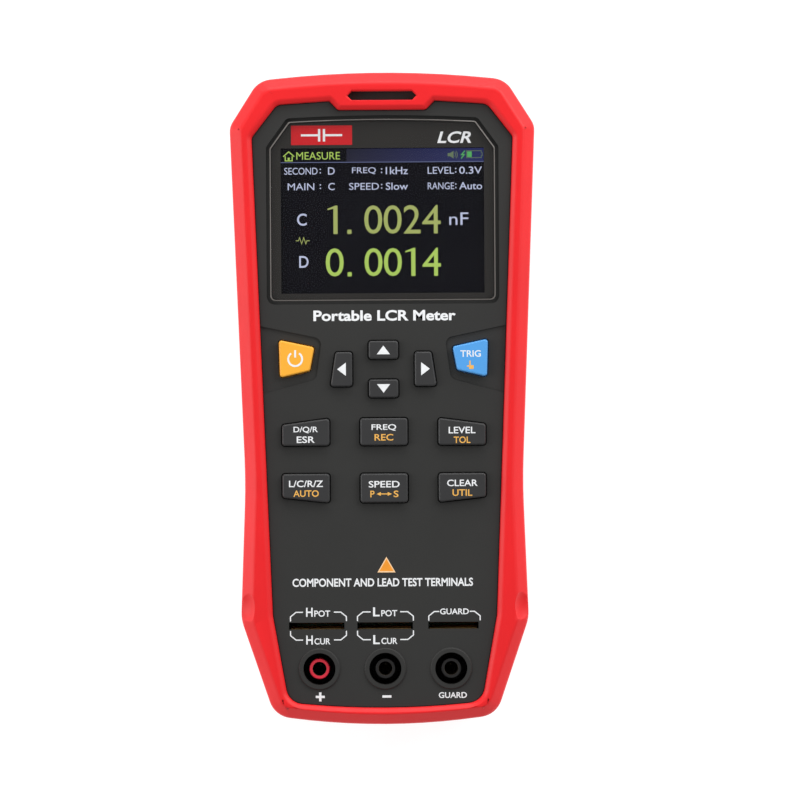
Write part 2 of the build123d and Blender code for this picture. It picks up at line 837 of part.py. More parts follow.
def make_case_screws():
    """Six screws that hold the two shells together."""
    cross_length, cross_width, cross_depth = screw_cross
    with BuildPart() as case_screws:
        with BuildSketch(Plane.XY.offset(head_seat_z - screw_head_height)):
            with Locations(*boss_places):
                Circle(screw_head_radius)
        extrude(amount=screw_head_height)
        with BuildSketch(Plane.XY.offset(head_seat_z)):
            with Locations(*boss_places):
                Circle(screw_radius)
        extrude(amount=split_height + screw_grip - head_seat_z)
        for x, y in boss_places:
            with BuildSketch(Plane.XY.offset(head_seat_z - screw_head_height)):
                with Locations((x, y)):
                    Rectangle(cross_length, cross_width)
                    Rectangle(cross_width, cross_length)
            extrude(amount=cross_depth, mode=Mode.SUBTRACT)
    finish(case_screws.part, "case_screws")


# ---------------------------------------------------------------- display
def make_display():
    """Lens, gasket, display module and its ribbon tail."""
    with BuildPart() as lens:
        with BuildSketch(Plane.XY.offset(lens_under_z)):
            add(lens_outline())
        extrude(amount=lens_thickness)
        chamfer(lens.faces().sort_by(Axis.Z)[-1].edges(), length=lens_edge)
    finish(lens.part, "display_lens")

    gasket_width = 2 * (view_half_width + view_clearance + gasket_margin)
    gasket_height = view_height + 2 * (view_clearance + gasket_margin)
    with BuildPart() as gasket:
        with BuildSketch(Plane.XY.offset(lcd_top_z)):
            with Locations((0, view_centre_y)):
                Rectangle(lcd_width - 2 * gasket_margin, lcd_height - 2 * gasket_margin)
                Rectangle(gasket_width, gasket_height, mode=Mode.SUBTRACT)
        extrude(amount=gasket_thickness)
    finish(gasket.part, "display_gasket")

    glass_size = (lcd_width - 2 * glass_margin, lcd_height - 2 * glass_margin)
    with BuildPart() as frame:
        with BuildSketch(Plane.XY.offset(lcd_top_z - lcd_thickness)):
            with Locations((0, view_centre_y)):
                RectangleRounded(lcd_width, lcd_height, lcd_corner)
        extrude(amount=lcd_thickness)
        with BuildSketch(Plane.XY.offset(lcd_top_z)):
            with Locations((0, view_centre_y)):
                Rectangle(*glass_size)
        extrude(amount=-glass_thickness, mode=Mode.SUBTRACT)
    finish(frame.part, "display_frame")

    with BuildPart() as glass:
        with BuildSketch(Plane.XY.offset(lcd_top_z - glass_thickness)):
            with Locations((0, view_centre_y)):
                Rectangle(glass_size[0] - 2 * glass_gap, glass_size[1] - 2 * glass_gap)
        extrude(amount=glass_thickness)
    finish(glass.part, "display_glass")

    lcd_bottom_y = view_centre_y - lcd_height / 2
    lap_y = lcd_bottom_y - tail_reach
    route = [
        (lcd_bottom_y, display_board_top_z + tail_rise),
        (lap_y + tail_rise, display_board_top_z + tail_rise),
        (lap_y, display_board_top_z + tail_thickness),
        (lap_y - tail_lap, display_board_top_z + tail_thickness),
    ]
    underside = [(y, z - tail_thickness) for y, z in reversed(route)]
    with BuildPart() as tail:
        with BuildSketch(Plane.YZ.offset(-tail_width / 2)):
            with BuildLine():
                Polyline(*route, *underside, close=True)
            make_face()
        extrude(amount=tail_width)
    finish(tail.part, "display_ribbon")


# ---------------------------------------------------------------- keys
def make_keys():
    """Twelve key caps, each with a retaining flange, and the carbon puck under each."""
    for name in key_points:
        with BuildPart() as key:
            with BuildSketch(Plane.XY.offset(key_under_z)):
                add(key_outline(name, flange_width))
            extrude(amount=flange_thickness)
            with BuildSketch(Plane.XY.offset(key_under_z)):
                add(key_outline(name))
            extrude(amount=key_top_z - key_under_z)
            fillet(key.faces().sort_by(Axis.Z)[-1].edges(), radius=key_edge)
        finish(key.part, f"key_{name}")
        with BuildPart() as puck:
            with BuildSketch(Plane.XY.offset(puck_under_z)):
                with Locations(key_centre(name)):
                    Circle(puck_radius)
            extrude(amount=puck_thickness)
        finish(puck.part, f"puck_{name}")


def make_keypad_mat():
    """Rubber mat on the display board, open under every key and boss."""
    with BuildPart() as mat:
        with BuildSketch(Plane.XY.offset(display_board_top_z)):
            with Locations((0, cluster_y + (mat_upper - mat_lower) / 2)):
                Rectangle(2 * mat_half_width, mat_upper + mat_lower)
            for name in key_points:
                add(key_outline(name, flange_width + mat_gap), mode=Mode.SUBTRACT)
            with Locations(*boss_places):
                Circle(boss_radius + board_notch_gap, mode=Mode.SUBTRACT)
            with Locations(*display_screw_places):
                Circle(board_boss_radius + board_notch_gap, mode=Mode.SUBTRACT)
        extrude(amount=mat_thickness)
    finish(mat.part, "keypad_mat")


# ---------------------------------------------------------------- circuit boards
def make_display_board():
    """Board behind the display and the keys, with its screws."""
    board_top_y = top_y - display_board_top_gap
    board_bottom_y = cluster_y - display_board_bottom
    with BuildPart() as board:
        with BuildSketch(Plane.XY.offset(display_board_z)):
            with Locations((0, (board_top_y + board_bottom_y) / 2)):
                Rectangle(2 * display_board_half_width, board_top_y - board_bottom_y)
        extrude(amount=board_thickness)
        upper_edges = board.edges().filter_by(Axis.Z).group_by(Axis.Y)[-1]
        chamfer(upper_edges, length=display_board_corner)
        with BuildSketch(Plane.XY.offset(display_board_z)):
            with Locations(*boss_places):
                Circle(boss_radius + board_notch_gap)
            with Locations(*display_screw_places):
                Circle(board_screw_radius + screw_clearance)
        extrude(amount=board_thickness, mode=Mode.SUBTRACT)
        with BuildSketch(Plane.XY.offset(display_board_z)):
            with Locations(*header_pin_places):
                Circle(header_pin_radius + header_pin_gap)
        extrude(amount=board_thickness, mode=Mode.SUBTRACT)
    finish(board.part, "display_board")

    head_radius, head_height = board_screw_head
    with BuildPart() as screws:
        with BuildSketch(Plane.XY.offset(display_board_z)):
            with Locations(*display_screw_places):
                Circle(head_radius)
        extrude(amount=-head_height)
        with BuildSketch(Plane.XY.offset(display_board_z)):
            with Locations(*display_screw_places):
                Circle(board_screw_radius)
        extrude(amount=board_thickness + board_screw_grip)
    finish(screws.part, "display_board_screws")


def make_main_board():
    """Measuring board under the slots and sockets, with its screws, header, shield and buzzer."""
    with BuildPart() as board:
        with BuildSketch(Plane.XY.offset(main_board_z)):
            with Locations((0, main_board_centre_y)):
                RectangleRounded(2 * main_board_half_width, main_board_height, main_board_corner)
            with Locations(*boss_places):
                Circle(rear_boss_radius + board_notch_gap, mode=Mode.SUBTRACT)
            with Locations(*main_screw_places):
                Circle(board_screw_radius + screw_clearance, mode=Mode.SUBTRACT)
            with Locations(*socket_places):
                Circle(socket_tail_radius + board_hole_gap, mode=Mode.SUBTRACT)
            for x, _ in slot_places():
                for side in (-1, 1):
                    with Locations((x, slot_y + side * blade_tail_y)):
                        Rectangle(
                            blade_tail_width + 2 * board_hole_gap,
                            blade_thickness + 2 * board_hole_gap,
                            mode=Mode.SUBTRACT,
                        )
        extrude(amount=board_thickness)
    finish(board.part, "main_board")

    head_radius, head_height = board_screw_head
    with BuildPart() as screws:
        with BuildSketch(Plane.XY.offset(main_board_top_z)):
            with Locations(*main_screw_places):
                Circle(head_radius)
        extrude(amount=head_height)
        with BuildSketch(Plane.XY.offset(main_board_top_z)):
            with Locations(*main_screw_places):
                Circle(board_screw_radius)
        extrude(amount=-board_thickness - board_screw_grip)
    finish(screws.part, "main_board_screws")

    with BuildPart() as socket:
        with BuildSketch(Plane.XY.offset(main_board_top_z)):
            with Locations((0, header_y)):
                Rectangle(header_length, header_width)
        extrude(amount=header_socket_height)
        with BuildSketch(Plane.XY.offset(main_board_top_z + header_socket_height)):
            with Locations(*header_pin_places):
                Circle(header_pin_radius + header_pin_gap)
        extrude(amount=-header_engagement - header_pin_room, mode=Mode.SUBTRACT)
    finish(socket.part, "header_socket")

    with BuildPart() as pins:
        with BuildSketch(Plane.XY.offset(display_board_z)):
            with Locations((0, header_y)):
                Rectangle(header_length, header_width)
        extrude(amount=-header_strip_height)
        with BuildSketch(Plane.XY.offset(display_board_z + board_thickness)):
            with Locations(*header_pin_places):
                Circle(header_pin_radius)
        socket_top_z = main_board_top_z + header_socket_height
        extrude(amount=-(display_board_z + board_thickness - socket_top_z + header_engagement))
    finish(pins.part, "header_pins")

    with BuildPart() as shield:
        with BuildSketch(Plane.XY.offset(main_board_top_z)):
            with Locations((0, shield_y)):
                RectangleRounded(shield_length, shield_width, shield_corner)
        extrude(amount=shield_height)
        with BuildSketch(Plane.XY.offset(main_board_top_z)):
            with Locations((0, shield_y)):
                Rectangle(shield_length - 2 * shield_sheet, shield_width - 2 * shield_sheet)
        extrude(amount=shield_height - shield_sheet, mode=Mode.SUBTRACT)
    finish(shield.part, "shield_can")

    with BuildPart() as buzzer:
        with BuildSketch(Plane.XY.offset(main_board_top_z)):
            with Locations(buzzer_place):
                Circle(buzzer_radius)
        extrude(amount=buzzer_height)
        with BuildSketch(Plane.XY.offset(main_board_top_z + buzzer_height)):
            with Locations(buzzer_place):
                Circle(buzzer_hole_radius)
        extrude(amount=-buzzer_height / 2, mode=Mode.SUBTRACT)
    finish(buzzer.part, "buzzer")


# ---------------------------------------------------------------- component slots
def make_slots():
    """Block behind the component slots and the spring contacts in it."""
    block_top_z = panel_under_z
    with BuildPart() as block:
        with BuildSketch(Plane.XY.offset(main_board_top_z)):
            with Locations((0, slot_y)):
                Rectangle(2 * slot_block_half_width, 2 * slot_block_half_depth)
        extrude(amount=block_top_z - main_board_top_z)
        with BuildSketch(Plane.XY.offset(main_board_top_z)):
            for x, width in slot_places():
                with Locations((x, slot_y)):
                    Rectangle(width, 2 * slot_cavity_half_depth)
        extrude(amount=block_top_z - main_board_top_z, mode=Mode.SUBTRACT)
    finish(block.part, "terminal_block")

    for name, (column, width) in slot_columns.items():
        x = column * slot_pitch
        blade_half_width = width / 2 - blade_margin
        with BuildPart() as contacts:
            for side in (-1, 1):
                with BuildSketch(Plane.YZ.offset(x - blade_half_width)):
                    with BuildLine():
                        Polyline(*blade_points(side), close=True)
                    make_face()
                extrude(amount=2 * blade_half_width)
                with BuildSketch(Plane.XY.offset(main_board_top_z)):
                    with Locations((x, slot_y + side * blade_tail_y)):
                        Rectangle(blade_tail_width, blade_thickness)
                extrude(amount=-board_thickness - blade_tail_below)
        finish(contacts.part, f"{name}_slot_contacts")


def blade_points(side):
    """Section of one spring contact: up the cavity wall, in to the pinch and out again."""
    half = blade_thickness / 2
    line = [
        (blade_tail_y, main_board_top_z),
        (blade_tail_y, blade_bend_z),
        (blade_pinch + half, blade_pinch_z),
        (blade_rest - half, blade_top_z),
    ]
    outer = [(slot_y + side * (y + half), z) for y, z in line]
    inner = [(slot_y + side * (y - half), z) for y, z in reversed(line)]
    return outer + inner


# ---------------------------------------------------------------- 4 mm sockets
def make_sockets():
    """Insulator and contact tube of each 4 mm safety socket."""
    flange_top_z = well_floor_z - well_floor_thickness
    flange_low_z = flange_top_z - insulator_flange_thickness
    for name, (x, y) in zip(slot_columns, socket_places):
        with BuildPart() as insulator:
            with BuildSketch(Plane.XY.offset(flange_low_z)):
                with Locations((x, y)):
                    Circle(insulator_radius)
            extrude(amount=insulator_top_z - flange_low_z)
            fillet(insulator.faces().sort_by(Axis.Z)[-1].edges(), radius=insulator_edge)
            with BuildSketch(Plane.XY.offset(flange_low_z)):
                with Locations((x, y)):
                    Circle(insulator_flange_radius)
            extrude(amount=insulator_flange_thickness)
            with BuildSketch(Plane.XY.offset(flange_low_z)):
                with Locations((x, y)):
                    Circle(contact_radius + thread_gap)
            extrude(amount=contact_top_z - flange_low_z, mode=Mode.SUBTRACT)
            with BuildSketch(Plane.XY.offset(insulator_top_z)):
                with Locations((x, y)):
                    Circle(mouth_radius)
            extrude(amount=-insulator_nose, mode=Mode.SUBTRACT)
        finish(insulator.part, f"{name}_socket_insulator")

        with BuildPart() as contact:
            with BuildSketch(Plane.XY.offset(main_board_top_z)):
                with Locations((x, y)):
                    Circle(contact_radius)
            extrude(amount=contact_top_z - main_board_top_z)
            with BuildSketch(Plane.XY.offset(main_board_top_z)):
                with Locations((x, y)):
                    Circle(socket_tail_radius)
            extrude(amount=-board_thickness - blade_tail_below)
            with BuildSketch(Plane.XY.offset(insulator_top_z - socket_bore_depth)):
                with Locations((x, y)):
                    Circle(socket_bore_radius)
            extrude(amount=socket_bore_depth, mode=Mode.SUBTRACT)
            with BuildSketch(Plane.XY.offset(insulator_top_z - socket_bore_depth)):
                with Locations((x, y)):
                    Circle(socket_bore_radius)
            extrude(amount=-drill_point_depth, taper=drill_point_angle, mode=Mode.SUBTRACT)
        finish(contact.part, f"{name}_socket_contact")


# ---------------------------------------------------------------- battery
def cover_sketch(inset=0.0):
    """Outline of the battery cover, drawn in by an inset."""
    cover_top_y = cell_y + bay_half_height + cover_overlap
    cover_bottom_y = cell_y - bay_half_height - cover_lower_flange
    with BuildSketch() as cover:
        with Locations((0, (cover_top_y + cover_bottom_y) / 2)):
            RectangleRounded(
                2 * (bay_half_length + cover_overlap - inset),
                cover_top_y - cover_bottom_y - 2 * inset,
                cover_corner - inset,
            )
    return cover.sketch


def make_battery():
    """Cell, its end contacts, the cover and the cover's screws."""
    with BuildPart() as cell:
        with BuildSketch(Plane.YZ.offset(-cell_length / 2)):
            with Locations((cell_y, cell_z)):
                Circle(cell_radius)
        extrude(amount=cell_length)
        fillet(cell.edges().filter_by(GeomType.CIRCLE), radius=cell_edge)
    finish(cell.part, "battery_cell")

    plate_size, plate_thickness, plate_corner = battery_plate
    with BuildPart() as contacts:
        for side in (-1, 1):
            wall_x = side * bay_half_length
            with BuildSketch(Plane.YZ.offset(wall_x)):
                with Locations((cell_y, cell_z)):
                    RectangleRounded(plate_size, plate_size, plate_corner)
            extrude(amount=-side * plate_thickness)
            with BuildSketch(Plane.YZ.offset(wall_x - side * plate_thickness)):
                with Locations((cell_y, cell_z)):
                    Circle(battery_spring_radius)
            extrude(amount=-side * (bay_end_room - plate_thickness), taper=battery_spring_taper)
    finish(contacts.part, "battery_contacts")

    head_radius, head_height = cover_screw_head
    cross_length, cross_width, cross_depth = cover_screw_cross
    with BuildPart() as cover:
        with BuildSketch(Plane.XY.offset(back_z)):
            add(cover_sketch())
        extrude(amount=cover_thickness)
        with BuildSketch(Plane.XY.offset(back_z)):
            with Locations(*cover_screw_places):
                Circle(head_radius + screw_clearance)
        extrude(amount=head_height, mode=Mode.SUBTRACT)
        with BuildSketch(Plane.XY.offset(back_z)):
            with Locations(*cover_screw_places):
                Circle(cover_screw_radius + screw_clearance)
        extrude(amount=cover_thickness, mode=Mode.SUBTRACT)
    finish(cover.part, "battery_cover")

    with BuildPart() as screws:
        with BuildSketch(Plane.XY.offset(back_z)):
            with Locations(*cover_screw_places):
                Circle(head_radius)
        extrude(amount=head_height)
        with BuildSketch(Plane.XY.offset(back_z + head_height)):
            with Locations(*cover_screw_places):
                Circle(cover_screw_radius)
        extrude(amount=cover_screw_length - head_height)
        for x, y in cover_screw_places:
            with BuildSketch(Plane.XY.offset(back_z)):
                with Locations((x, y)):
                    Rectangle(cross_length, cross_width)
                    Rectangle(cross_width, cross_length)
            extrude(amount=cross_depth, mode=Mode.SUBTRACT)
    finish(screws.part, "battery_cover_screws")


# ---------------------------------------------------------------- stand
def make_stand():
    """Folding stand with its hinge barrel and pins."""
    plate_z = back_z + stand_sink
    with BuildPart() as stand:
        with BuildSketch(Plane.XY.offset(plate_z)):
            with Locations((0, (hinge_y + stand_foot_y) / 2)):
                Rectangle(2 * stand_half_width, stand_length)
        extrude(amount=stand_thickness)
        foot_corners = stand.edges().filter_by(Axis.Z).group_by(Axis.Y)[0]
        fillet(foot_corners, radius=stand_corner)
        with BuildSketch(Plane.YZ.offset(-stand_half_width)):
            with Locations((hinge_y, hinge_z)):
                Circle(hinge_radius)
        extrude(amount=2 * stand_half_width)
        pin_reach = stand_half_width + hinge_pin_length
        with BuildSketch(Plane.YZ.offset(-pin_reach)):
            with Locations((hinge_y, hinge_z)):
                Circle(hinge_pin_radius)
        extrude(amount=2 * pin_reach)
        with BuildSketch(Plane.XY.offset(plate_z)):
            with Locations((0, stand_panel_y)):
                RectangleRounded(stand_panel_width, stand_panel_length, stand_panel_corner)
        extrude(amount=stand_panel_depth, mode=Mode.SUBTRACT)
    finish(stand.part, "stand")


# ---------------------------------------------------------------- charging port
def make_charging_port():
    """Charging socket under the display board and the hinged rubber cover over it."""
    mouth_y = case_end_y - port_sink
    with BuildPart() as socket:
        with BuildSketch(Plane.XZ.offset(-mouth_y)):
            with Locations((port_x, port_z)):
                RectangleRounded(port_width, port_height, port_height / 2 - round_room)
        extrude(amount=port_depth)
        with BuildSketch(Plane.XZ.offset(-mouth_y)):
            with Locations((port_x, port_z)):
                RectangleRounded(
                    port_width - 2 * port_shell,
                    port_height - 2 * port_shell,
                    port_height / 2 - port_shell - round_room,
                )
        extrude(amount=port_depth - port_shell, mode=Mode.SUBTRACT)
        tongue_width, tongue_thickness_y, tongue_length = port_tongue
        with BuildSketch(Plane.XZ.offset(-(mouth_y - port_depth))):
            with Locations((port_x, port_z)):
                Rectangle(tongue_width, tongue_thickness_y)
        extrude(amount=-tongue_length)
    finish(socket.part, "charging_socket")

    cover_y = case_end_y + port_cover_seat
    with BuildPart() as cover:
        with BuildSketch(Plane.XZ.offset(-cover_y)):
            with Locations((port_x, port_z)):
                Rectangle(2 * port_cover_half_width, port_cover_height)
        extrude(amount=-port_cover_thickness)
        far_corners = cover.edges().filter_by(Axis.Y).group_by(Axis.X)[0]
        fillet(far_corners, radius=port_cover_corner)
        hinge_edges = cover.edges().filter_by(Axis.Z).group_by(Axis.X)[-1]
        fillet(hinge_edges, radius=port_hinge_radius - round_room)
        with BuildSketch(Plane.XZ.offset(-cover_y)):
            with Locations((port_x, port_z)):
                RectangleRounded(
                    port_width - 2 * port_plug_gap,
                    port_height - 2 * port_plug_gap,
                    port_plug_corner,
                )
        extrude(amount=port_plug_length)
    finish(cover.part, "port_cover")


make_holster()
make_front_case()
make_rear_case()
make_case_screws()
make_display()
make_keys()
make_keypad_mat()
make_display_board()
make_main_board()
make_slots()
make_sockets()
make_battery()
make_stand()
make_charging_port()
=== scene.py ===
"""The looks of a handheld LCR meter: rubber holster, textured case, lit display, printed keys."""

import json
import math
from operator import attrgetter

import bmesh
import bpy
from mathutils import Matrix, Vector
from mathutils.kdtree import KDTree


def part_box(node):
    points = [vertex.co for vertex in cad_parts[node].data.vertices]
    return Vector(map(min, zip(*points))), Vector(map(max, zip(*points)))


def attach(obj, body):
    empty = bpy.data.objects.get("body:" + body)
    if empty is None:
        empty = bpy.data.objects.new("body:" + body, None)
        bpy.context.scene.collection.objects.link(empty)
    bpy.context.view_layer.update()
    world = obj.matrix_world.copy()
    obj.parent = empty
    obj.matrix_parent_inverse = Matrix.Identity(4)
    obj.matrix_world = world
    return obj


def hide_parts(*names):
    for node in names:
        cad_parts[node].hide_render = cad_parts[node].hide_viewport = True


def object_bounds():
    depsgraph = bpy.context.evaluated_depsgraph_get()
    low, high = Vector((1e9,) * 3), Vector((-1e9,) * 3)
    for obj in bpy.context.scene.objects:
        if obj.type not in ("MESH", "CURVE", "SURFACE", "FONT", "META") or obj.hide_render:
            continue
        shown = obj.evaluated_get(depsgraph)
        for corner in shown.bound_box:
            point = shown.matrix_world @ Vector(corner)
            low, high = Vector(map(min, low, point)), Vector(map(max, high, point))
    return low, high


bl_info = {
    "name": "Handheld LCR Meter",
    "version": (1, 0, 0),
    "blender": (4, 5, 0),
    "location": "View3D > Sidebar > LCR Meter",
    "description": "Builds the finished look of a handheld component meter around its fixed frame",
    "category": "Object",
}

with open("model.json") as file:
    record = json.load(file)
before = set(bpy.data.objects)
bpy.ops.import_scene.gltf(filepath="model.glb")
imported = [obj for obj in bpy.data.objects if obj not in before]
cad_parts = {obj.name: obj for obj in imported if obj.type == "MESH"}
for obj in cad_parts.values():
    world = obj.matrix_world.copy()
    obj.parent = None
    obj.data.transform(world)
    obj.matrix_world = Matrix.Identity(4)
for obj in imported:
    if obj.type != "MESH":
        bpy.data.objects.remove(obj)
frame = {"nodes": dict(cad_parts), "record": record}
CAD_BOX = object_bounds()

COLLAR_HEIGHT = 0.0005
FACE_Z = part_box("front_case")[1].z - COLLAR_HEIGHT
CREST_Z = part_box("holster")[1].z
KEY_TOP_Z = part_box("key_speed")[1].z
GLASS_LOW, GLASS_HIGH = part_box("display_glass")
GLASS_MIDDLE = (GLASS_LOW + GLASS_HIGH) / 2
LENS_LOW, LENS_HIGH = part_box("display_lens")
SOCKET_Y = (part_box("low_socket_contact")[0].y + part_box("low_socket_contact")[1].y) / 2
SLOT_Y = (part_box("terminal_block")[0].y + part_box("terminal_block")[1].y) / 2
BOTTOM_Y = CAD_BOX[0][1]
RIGHT_X = CAD_BOX[1][0]
PRINT = 0.00003  # thickness of a printed film
SUNK = 0.00001  # depth of a print's underside in what carries it
KEY_PRINT_Z = KEY_TOP_Z - SUNK
FACE_PRINT_Z = FACE_Z - SUNK
PICTURE_Z = GLASS_HIGH.z - SUNK
TYPE_SIZE = 0.01  # lettering is set at this size and then scaled
SAMPLE_SPACING = 0.0003  # distance between the places looked at along a sharp edge
END_MARGIN = 0.1  # share of an edge not looked at, at either end
BESIDE = 0.35  # most a place may lie ahead or behind and still count as beside an edge
SPARED_MARGIN = 0.0025  # how far round a spared opening the edges stay sharp
ROUNDING_SHARE = 0.3  # most of the gap to the next sharp edge that a rounding takes
MITRE_LIMIT = 0.4  # least cosine that a mitre is stretched by
MERGE_DISTANCE = 2e-6
FLAT_WITHIN = 0.6  # degrees between faces that are still joined as one
CASE_SHARP = 30.0  # degrees between faces past which an edge of the case is rounded and shaded sharp
KEY_SHARP = 32.0
HOLSTER_SHARP = 35.0
SOFTENED_TURN = 20.0  # degrees between faces past which an edge of the holster is rounded
LENS_ROUND, LENS_SHARP = 0.0001, 25.0
NOISE_ROUGHNESS = 0.55
SENSOR_WIDTH = 36.0  # millimetres, as Blender gives it


# -------- settings
def tint(red, green, blue):
    """A colour as seen on screen, 0 to 255, as Blender's linear colour."""
    return tuple((part / 255) ** 2.2 for part in (red, green, blue))


class HolsterSettings(bpy.types.PropertyGroup):
    colour: bpy.props.FloatVectorProperty(
        name="Rubber Colour",
        description="Colour of the holster's rubber",
        subtype="COLOR",
        default=tint(230, 24, 30),
    )
    edge_round: bpy.props.FloatProperty(
        name="Edge Rounding",
        description="Width of the rounding on the holster's moulded edges",
        default=0.0007,
        unit="LENGTH",
    )
    groove_count: bpy.props.IntProperty(
        name="Grip Grooves",
        description="Grip grooves on each side of the holster",
        default=9,
    )
    groove_pitch: bpy.props.FloatProperty(
        name="Groove Pitch",
        description="Distance from one grip groove to the next",
        default=0.0056,
        unit="LENGTH",
    )
    groove_depth: bpy.props.FloatProperty(
        name="Groove Depth",
        description="Depth of the grip grooves",
        default=0.0006,
        unit="LENGTH",
    )


class CaseSettings(bpy.types.PropertyGroup):
    colour: bpy.props.FloatVectorProperty(
        name="Case Colour",
        description="Colour of the case's plastic",
        subtype="COLOR",
        default=tint(45, 45, 44),
    )
    edge_round: bpy.props.FloatProperty(
        name="Edge Rounding",
        description="Width of the rounding on the case's edges",
        default=0.00018,
        unit="LENGTH",
    )


class KeySettings(bpy.types.PropertyGroup):
    colour: bpy.props.FloatVectorProperty(
        name="Key Colour",
        description="Colour of the dark keys",
        subtype="COLOR",
        default=tint(42, 42, 43),
    )
    power_colour: bpy.props.FloatVectorProperty(
        name="Power Key Colour",
        description="Colour of the power key",
        subtype="COLOR",
        default=tint(246, 172, 48),
    )
    trigger_colour: bpy.props.FloatVectorProperty(
        name="Trigger Key Colour",
        description="Colour of the trigger key",
        subtype="COLOR",
        default=tint(78, 156, 226),
    )
    legend_height: bpy.props.FloatProperty(
        name="Legend Height",
        description="Capital height of the words on the keys",
        default=0.0019,
        unit="LENGTH",
    )


class DisplaySettings(bpy.types.PropertyGroup):
    digit_colour: bpy.props.FloatVectorProperty(
        name="Digit Colour",
        description="Colour of the large readings",
        subtype="COLOR",
        default=tint(178, 190, 104),
    )
    second_colour: bpy.props.FloatVectorProperty(
        name="Second Reading Colour",
        description="Colour of the lower reading",
        subtype="COLOR",
        default=tint(186, 222, 98),
    )
    label_colour: bpy.props.FloatVectorProperty(
        name="Label Colour",
        description="Colour of the small labels",
        subtype="COLOR",
        default=tint(206, 214, 246),
    )
    picture_size: bpy.props.FloatVectorProperty(
        name="Picture Size",
        description="Width and height of the display's lit picture",
        size=2,
        default=(0.0586, 0.0419),
        unit="LENGTH",
    )
    brightness: bpy.props.FloatProperty(
        name="Brightness",
        description="Strength of the display's light",
        default=1.0,
    )


class StageSettings(bpy.types.PropertyGroup):
    camera_distance: bpy.props.FloatProperty(
        name="Camera Distance",
        description="Camera above the meter's face",
        default=1.3,
        unit="LENGTH",
    )
    view_width: bpy.props.FloatProperty(
        name="View Width",
        description="Width of the picture at the meter's face",
        default=0.2305,
        unit="LENGTH",
    )


# -------- mesh helpers
def deselect():
    """Nothing selected, and no active object."""
    if bpy.context.object and bpy.context.object.mode != "OBJECT":
        bpy.ops.object.mode_set(mode="OBJECT")
    bpy.ops.object.select_all(action="DESELECT")
    bpy.context.view_layer.objects.active = None


def pick(piece):
    """The piece alone selected and active."""
    deselect()
    piece.select_set(True)
    bpy.context.view_layer.objects.active = piece
    return piece


def settle(piece):
    """Puts the piece's place, turn and size into its mesh."""
    pick(piece)
    bpy.ops.object.transform_apply(location=True, rotation=True, scale=True)
    return piece


def place(piece, name, material, body, slot, *nodes):
    """Names a finished piece, gives it its material and puts it on its body; its slot is not used."""
    piece.name = name
    piece.data.name = name
    if material is not None:
        piece.data.materials.clear()
        piece.data.materials.append(material)
    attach(piece, body)
    if nodes:
        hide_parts(*nodes)
    return piece


def clean_copy(node):
    """A merged copy of a frame node's mesh, with its flat faces joined."""
    deselect()
    source = frame["nodes"][node]
    mesh = source.data.copy()
    mesh.materials.clear()
    piece = bpy.data.objects.new(f"{node}_copy", mesh)
    bpy.context.scene.collection.objects.link(piece)
    pick(piece)
    bpy.ops.object.mode_set(mode="EDIT")
    bpy.ops.mesh.select_all(action="SELECT")
    bpy.ops.mesh.remove_doubles(threshold=MERGE_DISTANCE)
    bpy.ops.mesh.dissolve_limited(angle_limit=math.radians(FLAT_WITHIN))
    bpy.ops.object.mode_set(mode="OBJECT")
    return piece


def modify(piece, kind, **settings):
    """Adds a modifier with its settings and applies it."""
    pick(piece)
    modifier = piece.modifiers.new(kind.title(), kind)
    for key, value in settings.items():
        setattr(modifier, key, value)
    bpy.ops.object.modifier_apply(modifier=modifier.name)
    return piece


def round_edges(piece, width, sharp=CASE_SHARP):
    """Rounds the sharp edges of a piece and shades it smooth between them."""
    modify(
        piece,
        "BEVEL",
        width=width,
        segments=2,
        limit_method="ANGLE",
        angle_limit=math.radians(sharp),
        miter_outer="MITER_ARC",
    )
    return shade(piece, sharp)


def shade(piece, sharp):
    """Smooth shading led by the large faces, sharp where the faces turn more than an angle."""
    pick(piece)
    bpy.ops.object.shade_smooth_by_angle(angle=math.radians(sharp))
    return modify(piece, "WEIGHTED_NORMAL", mode="FACE_AREA", weight=80, keep_sharp=True)


def split(piece):
    """Divides a piece's faces along its middle lines and at inner corners, so that each is convex."""
    pick(piece)
    bpy.ops.object.mode_set(mode="EDIT")
    for normal in ((1, 0, 0), (0, 1, 0)):
        bpy.ops.mesh.select_all(action="SELECT")
        bpy.ops.mesh.bisect(plane_co=(0, 0, 0), plane_no=normal)
    bpy.ops.mesh.select_all(action="SELECT")
    bpy.ops.mesh.vert_connect_concave()
    bpy.ops.object.mode_set(mode="OBJECT")
    return piece


def along(edge, spacing, margin=0.0):
    """Places along an edge, evenly spaced, leaving a share of it free at both ends."""
    start, stop = edge.verts[0].co, edge.verts[1].co
    count = max(1, math.ceil((stop - start).length / spacing))
    return [start.lerp(stop, margin + (1 - 2 * margin) * (step + 0.5) / count) for step in range(count)]


def within(place_at, box, margin):
    """Whether a place lies in a box grown by a margin."""
    return all(box[0][i] - margin < place_at[i] < box[1][i] + margin for i in range(3))


